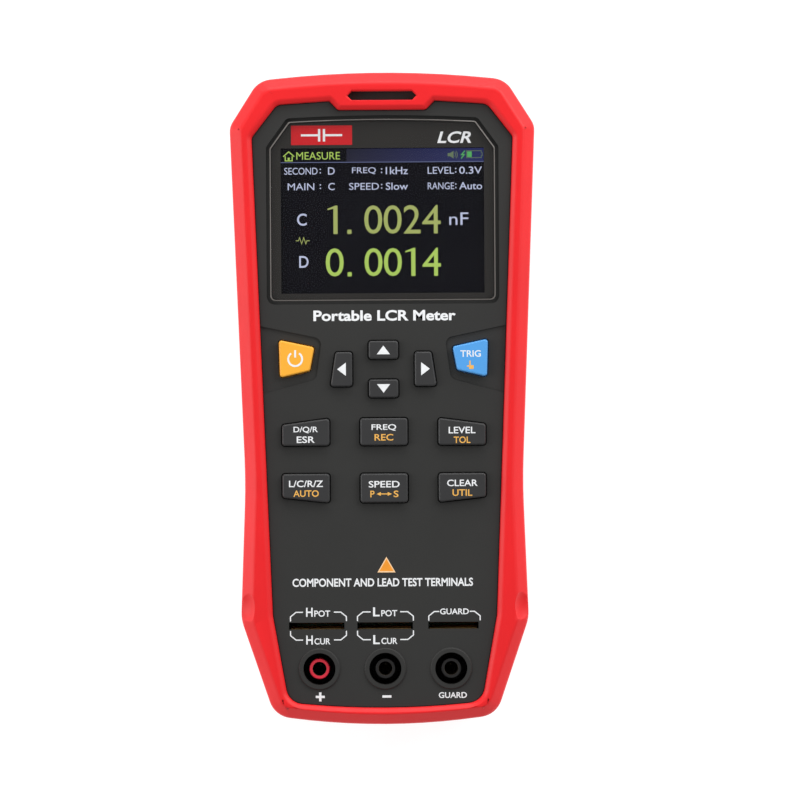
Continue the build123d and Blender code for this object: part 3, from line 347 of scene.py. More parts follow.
def soften(piece, width, spared):
    """Rounds each outer edge outside the spared box, by less where another sharp edge runs close."""
    mesh = bmesh.new()
    mesh.from_mesh(piece.data)
    weights = mesh.edges.layers.float.new("bevel_weight_edge")
    closed = [edge for edge in mesh.edges if len(edge.link_faces) == 2]
    turns = {edge: edge.calc_face_angle_signed(0.0) for edge in closed}
    sharp = [edge for edge, turn in turns.items() if abs(turn) > math.radians(SOFTENED_TURN)]
    places = [place_at for edge in sharp for place_at in along(edge, SAMPLE_SPACING)]
    tree = KDTree(len(places))
    for index, place_at in enumerate(places):
        tree.insert(place_at, index)
    tree.balance()
    for edge in sharp:
        start, stop = edge.verts[0].co, edge.verts[1].co
        if turns[edge] < 0 or within((start + stop) / 2, spared, SPARED_MARGIN):
            continue
        direction = (stop - start).normalized()
        room = width / ROUNDING_SHARE
        for place_at in along(edge, 3 * SAMPLE_SPACING, END_MARGIN):
            for found, _, distance in tree.find_range(place_at, room):
                ahead = abs((found - place_at).dot(direction))
                if distance > SAMPLE_SPACING / 3 and ahead < BESIDE * distance:
                    room = min(room, distance)
        edge[weights] = ROUNDING_SHARE * room / width
    mesh.to_mesh(piece.data)
    mesh.free()
    modify(
        piece,
        "BEVEL",
        width=width,
        segments=3,
        limit_method="WEIGHT",
        use_clamp_overlap=False,
        miter_outer="MITER_ARC",
    )
    return piece


def slab(x, y, z, width, height, thickness=PRINT):
    """A block, or a printed patch, by its middle in plan, its underside and its sizes."""
    deselect()
    bpy.ops.mesh.primitive_cube_add(size=1, location=(x, y, z + thickness / 2))
    piece = bpy.context.object
    piece.scale = (width, height, thickness)
    return settle(piece)


def triangle(x, y, z, base, height, turn=0.0):
    """A printed triangle by the middle of its box and its sizes, pointing up before its turn."""
    deselect()
    bpy.ops.mesh.primitive_cylinder_add(vertices=3, radius=1, depth=1)
    piece = bpy.context.object
    piece.scale = (base / math.sqrt(3), height / 1.5, PRINT)
    settle(piece)
    piece.location = (0, -height / 6, 0)
    settle(piece)
    piece.rotation_euler.z = math.radians(turn)
    piece.location = (x, y, z + PRINT / 2)
    return settle(piece)


def ball(x, y, z, radii):
    """An ellipsoid by its middle and its three radii."""
    deselect()
    bpy.ops.mesh.primitive_uv_sphere_add(segments=64, ring_count=32, radius=1, location=(x, y, z))
    piece = bpy.context.object
    piece.scale = radii
    return settle(piece)


def bar(start, stop, radius, sides=24):
    """A round bar with domed ends between two places."""
    start, stop = Vector(start), Vector(stop)
    axis = stop - start
    deselect()
    bpy.ops.mesh.primitive_uv_sphere_add(segments=sides, ring_count=sides // 2, radius=radius)
    piece = bpy.context.object
    for vertex in piece.data.vertices:
        vertex.co.z += axis.length * (0.5 if vertex.co.z > 0 else -0.5)
    piece.rotation_euler = axis.to_track_quat("Z", "Y").to_euler()
    piece.location = (start + stop) / 2
    return settle(piece)


def cut(piece, tool):
    """Takes the tool's shape out of a piece and removes the tool."""
    modify(piece, "BOOLEAN", operation="DIFFERENCE", solver="EXACT", object=tool)
    bpy.data.objects.remove(tool)
    return piece


def joined(pieces):
    """Several meshes as one object."""
    deselect()
    for piece in pieces:
        piece.select_set(True)
    bpy.context.view_layer.objects.active = pieces[0]
    if len(pieces) > 1:
        bpy.ops.object.join()
    return bpy.context.object


def printed(text, x, y, z, height, width=None, bold=0.0, lean=0.0):
    """Lettering as a thin mesh, centred on its place, with its capital height and its width."""
    deselect()
    bpy.ops.object.text_add(location=(0, 0, 0))
    letters = bpy.context.object
    letters.data.body = text
    letters.data.size = TYPE_SIZE
    letters.data.offset = bold * TYPE_SIZE
    letters.data.shear = lean
    letters.data.resolution_u = 4
    letters.data.extrude = SUNK
    bpy.ops.object.convert(target="MESH")
    letters = bpy.context.object
    low = [min(corner[i] for corner in letters.bound_box) for i in range(3)]
    high = [max(corner[i] for corner in letters.bound_box) for i in range(3)]
    tall = height / (high[1] - low[1])
    wide = width / (high[0] - low[0]) if width else tall
    letters.scale = (wide, tall, PRINT / (high[2] - low[2]))
    letters.location = (
        x - wide * (low[0] + high[0]) / 2,
        y - tall * (low[1] + high[1]) / 2,
        z - low[2] * letters.scale[2],
    )
    return settle(letters)


def outlined(points, z):
    """A printed piece by its outline, anticlockwise, where joined blocks would overlap at its corners."""
    count = len(points)
    corners = [(x, y, level) for level in (z, z + PRINT) for x, y in points]
    nexts = [(step + 1) % count for step in range(count)]
    walls = [(step, after, count + after, count + step) for step, after in enumerate(nexts)]
    mesh = bpy.data.meshes.new("outline")
    mesh.from_pydata(corners, [], [tuple(reversed(range(count))), tuple(range(count, 2 * count)), *walls])
    piece = bpy.data.objects.new("outline", mesh)
    bpy.context.scene.collection.objects.link(piece)
    return piece


def stroke(points, z, line):
    """A printed line of even width through the points, mitred at its corners."""
    places = [Vector(point) for point in points]
    steps = [(after - before).normalized() for before, after in zip(places, places[1:])]
    left, right = [], []
    for index, middle in enumerate(places):
        before, after = steps[max(index - 1, 0)], steps[min(index, len(steps) - 1)]
        heading = (before + after).normalized()
        across = Vector((-heading.y, heading.x)) * (line / 2 / max(MITRE_LIMIT, heading.dot(after)))
        left.append(tuple(middle + across))
        right.append(tuple(middle - across))
    return outlined(right + left[::-1], z)


def moved(x, y, points):
    """Points by how far right of a place and above it they are."""
    return [(x + right, y + up) for right, up in points]


def arc_points(x, y, radius, start, stop, steps):
    """Places along an arc, with its angles in degrees."""
    angles = [math.radians(start + (stop - start) * step / steps) for step in range(steps + 1)]
    return [(x + radius * math.cos(angle), y + radius * math.sin(angle)) for angle in angles]


# -------- materials
def new_material(name):
    """A node material with nothing but its principled shader and its output."""
    material = bpy.data.materials.new(name)
    material.use_nodes = True
    material.node_tree.nodes.clear()
    output, shader = add_node(material, "OutputMaterial"), add_node(material, "BsdfPrincipled")
    link(material, shader.outputs["BSDF"], output.inputs["Surface"])
    return material, shader


def fill(node, **values):
    """Sets the unlinked inputs of a node, named with an underscore for each space."""
    for key, value in values.items():
        node.inputs[key.replace("_", " ")].default_value = value
    return node


def add_node(material, kind, **values):
    """A node of a kind named without its prefix, with its unlinked inputs set."""
    return fill(material.node_tree.nodes.new(f"ShaderNode{kind}"), **values)


def link(material, source, target):
    material.node_tree.links.new(source, target)


def on_object(material, kind, **values):
    """A node that reads object coordinates."""
    places = add_node(material, "TexCoord")
    node = add_node(material, kind, **values)
    link(material, places.outputs["Object"], node.inputs["Vector"])
    return node


def noise(material, scale, detail=3.0):
    """Noise on object coordinates."""
    grain = on_object(material, "TexNoise", Scale=scale, Detail=detail, Roughness=NOISE_ROUGHNESS)
    return grain.outputs["Fac"]


def ramp(material, source, low, high, start=0.3, stop=0.7):
    """A colour ramp between two colours."""
    node = add_node(material, "ValToRGB")
    node.color_ramp.elements[0].position = start
    node.color_ramp.elements[1].position = stop
    node.color_ramp.elements[0].color = (*low, 1)
    node.color_ramp.elements[1].color = (*high, 1)
    link(material, source, node.inputs["Fac"])
    return node.outputs["Color"]


def spread(material, source, low, high):
    """Maps a 0 to 1 value onto a range."""
    node = add_node(material, "MapRange", To_Min=low, To_Max=high)
    link(material, source, node.inputs["Value"])
    return node.outputs["Result"]


def bump(material, shader, height, distance, strength=1.0):
    """Fine relief from a height."""
    node = add_node(material, "Bump", Distance=distance, Strength=strength)
    link(material, height, node.inputs["Height"])
    link(material, node.outputs["Normal"], shader.inputs["Normal"])


def shaded(colour, factor):
    """A colour made lighter or darker."""
    return tuple(min(1.0, part * factor) for part in colour)


def moulded(name, colour, grain, relief, rough=(0.42, 0.58), vary=0.08, sheen=0.0, specular=0.5):
    """Moulded plastic or rubber: fine grain, slow colour variation and uneven gloss."""
    material, shader = new_material(name)
    cloud = noise(material, 45.0, 4.0)
    tone = ramp(material, cloud, shaded(colour, 1 - vary), shaded(colour, 1 + vary))
    link(material, tone, shader.inputs["Base Color"])
    link(material, spread(material, noise(material, 220.0, 5.0), *rough), shader.inputs["Roughness"])
    fill(shader, Specular_IOR_Level=specular, Sheen_Weight=sheen, Sheen_Roughness=0.5)
    bump(material, shader, noise(material, grain, 2.0), relief)
    return material


def metal(name, colour, rough=(0.2, 0.36)):
    """Plated or machined metal with faint tool marks."""
    material, shader = new_material(name)
    fill(shader, Metallic=1.0)
    tone = ramp(material, noise(material, 90.0, 4.0), shaded(colour, 0.86), shaded(colour, 1.08))
    link(material, tone, shader.inputs["Base Color"])
    marks = noise(material, 1400.0, 4.0)
    link(material, spread(material, marks, *rough), shader.inputs["Roughness"])
    bump(material, shader, marks, 0.000008)
    return material


def ink(name, colour):
    """Printed or lit marking with a slightly uneven film."""
    material, shader = new_material(name)
    film = noise(material, 900.0, 3.0)
    tone = ramp(material, film, shaded(colour, 0.93), shaded(colour, 1.04))
    link(material, tone, shader.inputs["Base Color"])
    link(material, spread(material, film, 0.42, 0.6), shader.inputs["Roughness"])
    return material


MATERIALS = {}


def material(name):
    """A material of this meter, made the first time it is asked for."""
    if name not in MATERIALS:
        maker, *values = FINISHES[name]
        values = [attrgetter(value)(settings()) if isinstance(value, str) else value for value in values]
        MATERIALS[name] = maker(name, *values)
    return MATERIALS[name]


def settings():
    return bpy.context.scene.lcr_meter


def lens_glass(name):
    """Clear hard-coated window."""
    glass, shader = new_material(name)
    film = noise(glass, 60.0, 3.0)
    link(glass, ramp(glass, film, (0.02, 0.02, 0.025), (0.03, 0.03, 0.035)), shader.inputs["Base Color"])
    link(glass, spread(glass, film, 0.03, 0.07), shader.inputs["Roughness"])
    fill(shader, Alpha=0.10, IOR=1.5, Specular_IOR_Level=0.1)
    return glass


def board_laminate(name):
    """Solder mask with copper tracks showing through."""
    board, shader = new_material(name)
    tracks = on_object(
        board,
        "TexBrick",
        Scale=260.0,
        Color1=(0.012, 0.13, 0.05, 1),
        Color2=(0.016, 0.17, 0.065, 1),
        Mortar=(0.05, 0.30, 0.12, 1),
        Mortar_Size=0.03,
    )
    link(board, tracks.outputs["Color"], shader.inputs["Base Color"])
    link(board, spread(board, noise(board, 300.0), 0.25, 0.4), shader.inputs["Roughness"])
    bump(board, shader, tracks.outputs["Fac"], 0.00002, 0.4)
    return board


def glow(material, shader, tone, unlit):
    """Light in a tone as strong as the display's, over an unlit colour."""
    fill(shader, Base_Color=unlit, Roughness=0.3, Emission_Strength=settings().display.brightness)
    link(material, tone, shader.inputs["Emission Color"])


def status_bar(name):
    """Lit bar that brightens from left to right."""
    bar_light, shader = new_material(name)
    parts = on_object(bar_light, "SeparateXYZ")
    half = settings().display.picture_size[0] / 2
    across = add_node(bar_light, "MapRange", From_Min=-half / 3, From_Max=half)
    link(bar_light, parts.outputs["X"], across.inputs["Value"])
    tone = ramp(bar_light, across.outputs["Result"], tint(8, 10, 34), tint(26, 34, 90), 0.0, 1.0)
    glow(bar_light, shader, tone, (0.01, 0.01, 0.02, 1))
    return bar_light


def lit_dots(name, colour):
    """Glowing marking with the fine lines of the display's dots in it."""
    dots, shader = new_material(name)
    lines = on_object(dots, "TexWave", Scale=1150.0, Distortion=0.4)
    lines.bands_direction = "Y"
    tone = ramp(dots, lines.outputs["Fac"], shaded(colour, 0.72), colour, 0.1, 0.6)
    glow(dots, shader, tone, (0.02, 0.02, 0.02, 1))
    return dots


def studio_floor(name):
    """White sweep that glows a little, so that coloured light doesn't stain it."""
    floor, shader = new_material(name)
    cloud = noise(floor, 30.0)
    link(floor, ramp(floor, cloud, (0.24, 0.24, 0.24), (0.26, 0.26, 0.26)), shader.inputs["Base Color"])
    link(floor, ramp(floor, cloud, (0.86, 0.86, 0.86), (0.88, 0.88, 0.88)), shader.inputs["Emission Color"])
    fill(shader, Emission_Strength=1.0, Roughness=0.8)
    return floor


# Each finish's maker and the values it takes after the name. A colour given as words is a user's setting.
FINISHES = {
    "holster_rubber": (moulded, "holster.colour", 1500.0, 0.00001, (0.42, 0.54), 0.035, 0.04, 0.4),
    "case_plastic": (moulded, "case.colour", 2600.0, 0.00002, (0.55, 0.7), 0.06, 0.0, 0.35),
    "key_rubber": (moulded, "keys.colour", 1600.0, 0.00001, (0.4, 0.55), 0.06, 0.1),
    "power_key_rubber": (moulded, "keys.power_colour", 1600.0, 0.00001, (0.4, 0.55), 0.04, 0.1),
    "trigger_key_rubber": (moulded, "keys.trigger_colour", 1600.0, 0.00001, (0.4, 0.55), 0.04, 0.1),
    "web_rubber": (moulded, tint(70, 70, 70), 1500.0, 0.00001),
    "carbon_rubber": (moulded, tint(24, 24, 24), 3000.0, 0.00001, (0.6, 0.8)),
    "foam": (moulded, tint(34, 34, 34), 1500.0, 0.0001, (0.8, 0.95)),
    "black_plastic": (moulded, tint(26, 25, 25), 2200.0, 0.00001, (0.25, 0.4), 0.08),
    "red_plastic": (moulded, tint(232, 44, 66), 2200.0, 0.00001, (0.3, 0.45), 0.06),
    "badge_red": (moulded, tint(200, 26, 34), 2200.0, 0.00001, (0.3, 0.42), 0.05),
    "border_print": (moulded, tint(40, 38, 35), 1200.0, 0.000005, (0.3, 0.4), 0.06),
    "display_black": (moulded, tint(10, 10, 18), 1200.0, 0.000004, (0.12, 0.2), 0.1, 0.0, 0.15),
    "polyimide": (moulded, tint(196, 120, 34), 900.0, 0.000006, (0.2, 0.35), 0.08),
    "cell_wrap": (moulded, tint(38, 120, 136), 700.0, 0.00001, (0.25, 0.35), 0.05),
    "floor_pale": (studio_floor,),
    "steel": (metal, (0.56, 0.56, 0.57)),
    "contact_brass": (metal, (0.72, 0.52, 0.22)),
    "socket_metal": (metal, (0.25, 0.22, 0.17), (0.35, 0.5)),
    "slot_bronze": (metal, (0.80, 0.52, 0.20), (0.3, 0.45)),
    "white_ink": (ink, tint(236, 238, 240)),
    "amber_ink": (ink, tint(238, 178, 84)),
    "orange_ink": (ink, tint(240, 150, 40)),
    "pale_ink": (ink, tint(250, 208, 160)),
    "reading_light": (lit_dots, "display.digit_colour"),
    "second_light": (lit_dots, "display.second_colour"),
    "label_light": (lit_dots, "display.label_colour"),
    "icon_light": (lit_dots, tint(104, 124, 92)),
    "green_light": (lit_dots, tint(84, 186, 96)),
    "line_light": (lit_dots, tint(96, 106, 150)),
    "bar_light": (status_bar,),
    # light grey of the ring inside the lens's edge: a painted highlight of its cut edge
    "painted_edge_highlight": (moulded, tint(116, 112, 108), 1200.0, 0.000004, (0.25, 0.35), 0.05),
    "lens_glass": (lens_glass,),
    "board_laminate": (board_laminate,),
}


# -------- holster
HIP_Y = BOTTOM_Y + 0.0305  # widest place of the holster's lower end
GROOVE_RADIUS = 0.0016
GROOVE_LOW_Z, GROOVE_HIGH_Z = 0.0100, 0.0310
WAIST_Y = 0.0060
SCOOP_OUT, SCOOP_ALONG, SCOOP_UP = 0.0005, 0.0035, 0.0020  # from the side, the hip and the crest
SCOOP_RADII = (0.0075, 0.0085, 0.0060)
OUTSIDE_X, WALL_Z = 0.1, 0.02  # where the ray that looks for the side wall starts


def side_wall_x(y):
    """How far the holster's side wall stands from the middle line at a place along it."""
    hit, place_found, _, _ = frame["nodes"]["holster"].ray_cast((OUTSIDE_X, y, WALL_Z), (-1, 0, 0))
    return place_found.x if hit else RIGHT_X


def grip_grooves(values):
    """Upright round-bottomed grooves in the side walls, one after another along the waist."""
    grooves = []
    for step in range(values.groove_count):
        y = WAIST_Y + (step - (values.groove_count - 1) / 2) * values.groove_pitch
        out = side_wall_x(y) - values.groove_depth + GROOVE_RADIUS
        for x in (-out, out):
            grooves.append(bar((x, y, GROOVE_LOW_Z), (x, y, GROOVE_HIGH_Z), GROOVE_RADIUS))
    return joined(grooves)


class LCR_OT_holster(bpy.types.Operator):
    """Builds the rubber holster from the frame's, with soft edges, hip scoops and grip grooves."""

    bl_idname = "lcr_meter.holster"
    bl_label = "Build Holster"

    def execute(self, context):
        values = settings().holster
        holster = clean_copy("holster")
        split(holster)
        soften(holster, values.edge_round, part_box("port_cover"))
        for side in (-1, 1):
            x = side * (RIGHT_X + SCOOP_OUT)
            holster = cut(holster, ball(x, HIP_Y + SCOOP_ALONG, CREST_Z + SCOOP_UP, SCOOP_RADII))
        holster = cut(holster, grip_grooves(values))
        shade(holster, HOLSTER_SHARP)
        place(holster, "rubber_holster", material("holster_rubber"), "case", "holster_rubber", "holster")
        return {"FINISHED"}


# -------- case
class LCR_OT_case(bpy.types.Operator):
    """Builds the two case halves and the covers on them."""

    bl_idname = "lcr_meter.case"
    bl_label = "Build Case"

    def execute(self, context):
        width = settings().case.edge_round
        for node, name, body in (
            ("front_case", "front_shell", "case"),
            ("rear_case", "rear_shell", "case"),
            ("stand", "folding_stand", "stand"),
        ):
            shell = round_edges(clean_copy(node), width)
            place(shell, name, material("case_plastic"), body, "case_plastic", node)
        self.battery_door(width)
        flap = round_edges(clean_copy("port_cover"), width)
        place(flap, "port_flap", material("holster_rubber"), "port_cover", "holster_rubber", "port_cover")
        return {"FINISHED"}

    def battery_door(self, width):
        """Battery cover with finger grooves sunk across its lower edge."""
        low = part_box("battery_cover")[0]
        door = clean_copy("battery_cover")
        first, pitch, half_length, radius, lift = 0.0105, 0.0022, 0.0090, 0.0009, 0.0004
        for step in range(5):
            y, z = low.y + first + step * pitch, low.z - lift
            door = cut(door, bar((-half_length, y, z), (half_length, y, z), radius, 16))
        round_edges(door, width)
        place(door, "battery_door", material("case_plastic"), "case", "case_plastic", "battery_cover")


# -------- keys
KEY_BOLD = 0.012
LEGEND_DROP = 0.0028  # from a legend's upper word to its lower one
ARROW_SIZE = (0.0038, 0.0025)


def key_middle(name):
    low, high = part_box(f"key_{name}")
    return (low + high) / 2


def mark(name, piece, finish, body, slot):
    """Puts a printed or lit marking on its body."""
    return place(piece, name, material(finish), body, slot)


class LCR_OT_keys(bpy.types.Operator):
    """Builds the twelve key caps and their printed legends."""

    bl_idname = "lcr_meter.keys"
    bl_label = "Build Keys"

    def execute(self, context):
        coloured = {"power": "power_key_rubber", "trigger": "trigger_key_rubber"}
        for node in sorted(frame["nodes"]):
            if not node.startswith("key_"):
                continue
            name = node[len("key_"):]
            finish = coloured.get(name, "key_rubber")
            cap = shade(clean_copy(node), KEY_SHARP)
            place(cap, f"{name}_cap", material(finish), f"{name}_key", finish, node)
        self.word_legends()
        self.arrow_legends()
        self.power_legend()
        self.trigger_legend()
        return {"FINISHED"}

    def word_legends(self):
        """Two-line legends: the main function over the second one."""
        top = KEY_PRINT_Z
        tall = settings().keys.legend_height
        # upper word and its width, lower word and its width, lower ink, rise of the upper word
        words = {
            "dissipation": ("D/Q/R", 0.0070, "ESR", 0.0052, "white_ink", 0.0007),
            "frequency": ("FREQ", 0.0071, "REC", 0.0054, "amber_ink", 0.0012),
            "level": ("LEVEL", 0.0077, "TOL", 0.0048, "amber_ink", 0.0004),
            "parameter": ("L/C/R/Z", 0.0098, "AUTO", 0.0073, "amber_ink", 0.0013),
            "speed": ("SPEED", 0.0089, "P", 0.0012, "amber_ink", 0.0011),
            "clear": ("CLEAR", 0.0088, "UTIL", 0.0057, "amber_ink", 0.0013),
        }
        for name, (upper, upper_width, lower, lower_width, lower_ink, rise) in words.items():
            middle = key_middle(name)
            body = f"{name}_key"
            y, lower_y = middle.y + rise, middle.y + rise - LEGEND_DROP
            first = printed(upper, middle.x, y, top, tall, upper_width, KEY_BOLD)
            mark(f"{name}_legend_upper", first, "white_ink", body, "key_rubber")
            shift = -0.0034 if name == "speed" else 0.0
            second = printed(lower, middle.x + shift, lower_y, top, tall, lower_width, KEY_BOLD)
            if name == "speed":
                second = joined([second, *self.swap_sign(middle.x, lower_y, top, tall)])
            mark(f"{name}_legend_lower", second, lower_ink, body, "key_rubber")

    def swap_sign(self, x, y, z, tall):
        """Two-headed arrow and the letter after it."""
        shaft = slab(x, y, z, 0.0020, 0.0003)
        heads = [triangle(x + side * 0.0016, y, z, 0.0011, 0.0012, -90 * side) for side in (-1, 1)]
        letter = printed("S", x + 0.0034, y, z, tall, 0.0014, KEY_BOLD)
        return [shaft, *heads, letter]

    def arrow_legends(self):
        """White triangles on the four arrow keys."""
        for name, turn in (("up", 0), ("down", 180), ("left", 90), ("right", -90)):
            middle = key_middle(name)
            arrow = triangle(middle.x, middle.y, KEY_PRINT_Z, *ARROW_SIZE, turn)
            mark(f"{name}_arrow", arrow, "white_ink", f"{name}_key", "key_rubber")

    def power_legend(self):
        """Open ring and bar on the power key."""
        x, y, top = -0.0254, key_middle("power").y - 0.0001, KEY_PRINT_Z
        radius, line = 0.0020, 0.00055
        ring_line = stroke(arc_points(x, y, radius, 125, 415, 30), top, line)
        upright = slab(x, y + 0.0015, top, line, 0.0021)
        mark("power_sign", joined([ring_line, upright]), "white_ink", "power_key", "power_key_rubber")

    def trigger_legend(self):
        """Word on the trigger key and a small pointing hand under it."""
        x, y, top = 0.0251, key_middle("trigger").y, KEY_PRINT_Z
        word = printed("TRIG", x, y + 0.0012, top, 0.0019, 0.0059, KEY_BOLD)
        mark("trigger_legend", word, "white_ink", "trigger_key", "trigger_key_rubber")
        fist_left, fist_right, fist_top, fist_low = x - 0.00045, x + 0.00085, y - 0.00215, y - 0.00325
        thumb, thumb_top, thumb_low = x - 0.00105, y - 0.0022, y - 0.0026
        finger_left, finger_right, tip = x - 0.00041, x + 0.00001, y - 0.00085
        hand = [(fist_left, fist_low), (fist_right, fist_low), (fist_right, fist_top)]
        hand += [(finger_right, fist_top), (finger_right, tip), (finger_left, tip), (finger_left, thumb_top)]
        hand += [(thumb, thumb_top), (thumb, thumb_low), (fist_left, thumb_low)]
        mark("trigger_hand", outlined(hand, top), "amber_ink", "trigger_key", "trigger_key_rubber")


# -------- display
DIGIT_PITCH = 0.0056  # one character cell of the large readings


def on_picture(right, down):
    """Place on the lit picture, from its upper left corner."""
    width, height = settings().display.picture_size
    return GLASS_MIDDLE.x - width / 2 + right, GLASS_MIDDLE.y + height / 2 - down


def on_glass(name, piece, finish):
    """Puts a lit marking on the display's glass."""
    return mark(name, piece, finish, "case", "display_black")


class LCR_OT_display(bpy.types.Operator):
    """Builds the lens, its printed border and the lit picture."""

    bl_idname = "lcr_meter.display"
    bl_label = "Build Display"

    def execute(self, context):
        self.lens()
        self.border()
        self.badge()
        self.status_row()
        self.settings_rows()
        self.readings()
        return {"FINISHED"}

    def lens(self):
        """Hard-coated window, with a light grey ring just inside its cut edge as a painted highlight."""
        lens = round_edges(clean_copy("display_lens"), LENS_ROUND, LENS_SHARP)
        place(lens, "window_lens", material("lens_glass"), "case", "lens_window", "display_lens")
        size = LENS_HIGH - LENS_LOW
        slices = [
            self.lens_slice(1 - inset / size.x, 1 - inset / size.y, LENS_HIGH.z - drop, thickness)
            for inset, drop, thickness in ((0.0001, 0.0006, 0.00045), (0.00068, 0.0010, 0.0012))
        ]
        # light grey ring just inside the lens's edge: a painted highlight of its cut edge
        mark("lens_edge_painted_highlight", cut(*slices), "painted_edge_highlight", "case", "lens_window")

    def lens_slice(self, wide, tall, z, thickness):
        """A flat slice with the lens's outline, scaled about its middle."""
        piece = clean_copy("display_lens")
        middle = (LENS_LOW + LENS_HIGH) / 2
        depth = thickness / (LENS_HIGH.z - LENS_LOW.z)
        piece.scale = (wide, tall, depth)
        piece.location = (middle.x * (1 - wide), middle.y * (1 - tall), z - LENS_LOW.z * depth)
        return settle(piece)

    def border(self):
        """Dark print round the picture, on the back of the lens."""
        width, height = settings().display.picture_size
        print_z, film, below, tall = LENS_LOW.z + 0.0001, 0.0001, 0.0005, 0.0015
        border = self.lens_slice(0.985, 0.982, print_z, film)
        opening = slab(GLASS_MIDDLE.x, GLASS_MIDDLE.y, print_z - below, width, height, tall)
        mark("lens_border", cut(border, opening), "border_print", "case", "lens_window")

    def badge(self):
        """Red plaque with a capacitor's circuit sign, and the plain family letters beside it."""
        z = LENS_LOW.z + 0.0002
        x, y = -0.01745, 0.0760
        mark("badge_plaque", slab(x, y, z, 0.0176, 0.0056), "badge_red", "case", "lens_window")
        sign = []
        for out, width, height in ((0.0035, 0.0049, 0.0006), (0.0007, 0.00065, 0.0036)):
            sign += [slab(x + side * out, y, z + PRINT, width, height) for side in (-1, 1)]
        mark("badge_sign", joined(sign), "white_ink", "case", "lens_window")
        letters = printed("LCR", 0.0208, 0.0752, z, 0.0034, 0.0098, bold=0.022, lean=0.25)
        mark("family_letters", letters, "white_ink", "case", "lens_window")

    def lit(self, name, text, right, down, height, width, finish, bold=0.0):
        """A line of lit text, centred at its place on the picture."""
        x, y = on_picture(right, down)
        on_glass(name, printed(text, x, y, PICTURE_Z, height, width, bold), finish)

    def status_row(self):
        """Top row of the picture: house, title, speaker, charging sign and battery."""
        width = settings().display.picture_size[0]
        z = PICTURE_Z
        x, y = on_picture(0.0388, 0.0020)
        on_glass("status_bar", slab(x, y, z, 0.0396, 0.0038, PRINT / 2), "bar_light")
        x, y = on_picture(width / 2, 0.0040)
        on_glass("status_line", slab(x, y, z, width, 0.00022), "line_light")
        x, y = on_picture(0.0023, 0.0022)
        walls = [(-0.0010, 0), (-0.0010, -0.0013), (0.0010, -0.0013), (0.0010, 0)]
        roof = [(-0.0016, -0.0001), (0, 0.0013), (0.0016, -0.0001)]
        house = [stroke(moved(x, y, points), z, 0.0003) for points in (walls, roof)]
        door = slab(x, y - 0.00075, z, 0.0006, 0.0007)
        on_glass("home_sign", joined([*house, door]), "second_light")
        self.lit("page_title", "MEASURE", 0.0108, 0.0021, 0.0022, 0.0126, "second_light")
        x, y = on_picture(0.0494, 0.0020)
        horn = [(-0.0012, -0.00045), (-0.0005, -0.00045), (0.0005, -0.0011)]
        horn += [(0.0005, 0.0011), (-0.0005, 0.00045), (-0.0012, 0.00045)]
        arcs = [arc_points(x, y, 0.0011 + 0.0005 * step, -40, 40, 6) for step in range(2)]
        waves = [stroke(arc, z, 0.00018) for arc in arcs]
        on_glass("speaker_sign", joined([outlined(moved(x, y, horn), z), *waves]), "icon_light")
        x, y = on_picture(0.0526, 0.0020)
        bolt = [(0.0006, 0.0011), (-0.0004, 0), (0.0004, 0), (-0.0005, -0.0011)]
        on_glass("charging_sign", stroke(moved(x, y, bolt), z, 0.00030), "green_light")
        x, y = on_picture(0.0559, 0.0019)
        cell = [(0, -0.0010), (0.0020, -0.0010), (0.0020, -0.0004), (0.0023, -0.0004), (0.0023, 0.0004)]
        cell += [(0.0020, 0.0004), (0.0020, 0.0010), (-0.0022, 0.0010), (-0.0022, -0.0010), (-PRINT, -0.0010)]
        on_glass("battery_sign", stroke(moved(x, y, cell), z, 0.00018), "icon_light")
        on_glass("battery_level", slab(x - 0.0014, y, z, 0.0013, 0.0016), "green_light")

    def settings_rows(self):
        """Two rows of three settings each."""
        columns = (
            (0.0058, 0.0096, 0.0114, 0.0146, None),
            (0.0240, 0.0086, 0.0291, 0.0335, 0.0064),
            (0.0462, 0.0076, 0.0505, 0.0548, 0.0066),
        )
        rows = (
            (0.0065, (("SECOND", "D"), ("FREQ", "1kHz"), ("LEVEL", "0.3V"))),
            (0.0110, (("MAIN", "C"), ("SPEED", "Slow"), ("RANGE", "Auto"))),
        )
        for row, (down, entries) in enumerate(rows):
            for column, (label, value) in enumerate(entries):
                label_at, label_width, colon_at, value_at, value_width = columns[column]
                name = f"setting_{row}_{column}"
                width = label_width * min(1.0, len(label) / 5)
                self.lit(f"{name}_label", label, label_at, down, 0.0020, width, "label_light")
                self.lit(f"{name}_colon", ":", colon_at, down, 0.0014, None, "label_light", 0.01)
                self.lit(f"{name}_value", value, value_at, down, 0.0021, value_width, "label_light", 0.006)

    def readings(self):
        """The two large readings with their letters and unit."""
        widths = {"0": 0.0052, "2": 0.0049, "4": 0.0053}
        for name, digits, down, tall, finish in (
            ("main", "1.0024", 0.0206, 0.0082, "reading_light"),
            ("second", "0.0014", 0.0329, 0.0081, "second_light"),
        ):
            for index, digit in enumerate(digits):
                right = 0.0154 + index * DIGIT_PITCH - (0.0013 if digit == "." else 0.0)
                if digit in widths:
                    self.lit(f"{name}_digit_{index}", digit, right, down, tall, widths[digit], finish)
                    continue
                if digit == "1":
                    shape = self.figure_one(*on_picture(right, down), tall)
                else:
                    x, y = on_picture(right, down + tall / 2 - 0.0006)
                    shape = slab(x, y, PICTURE_Z, 0.0012, 0.0012)
                on_glass(f"{name}_digit_{index}", shape, finish)
        self.lit("main_letter", "C", 0.0060, 0.0205, 0.0035, 0.0028, "label_light", 0.01)
        self.lit("second_letter", "D", 0.0065, 0.0327, 0.0034, 0.0027, "label_light", 0.01)
        self.lit("main_unit", "nF", 0.0513, 0.0205, 0.0036, 0.0055, "label_light")
        x, y = on_picture(0.0062, 0.0266)
        zigzag = [(x - 0.0020, y), (x - 0.0012, y)]
        zigzag += [(x - 0.0009 + 0.0006 * step, y + (0.0009, -0.0009)[step % 2]) for step in range(4)]
        zigzag += [(x + 0.0012, y), (x + 0.0020, y)]
        on_glass("circuit_sign", stroke(zigzag, PICTURE_Z, 0.00022), "reading_light")

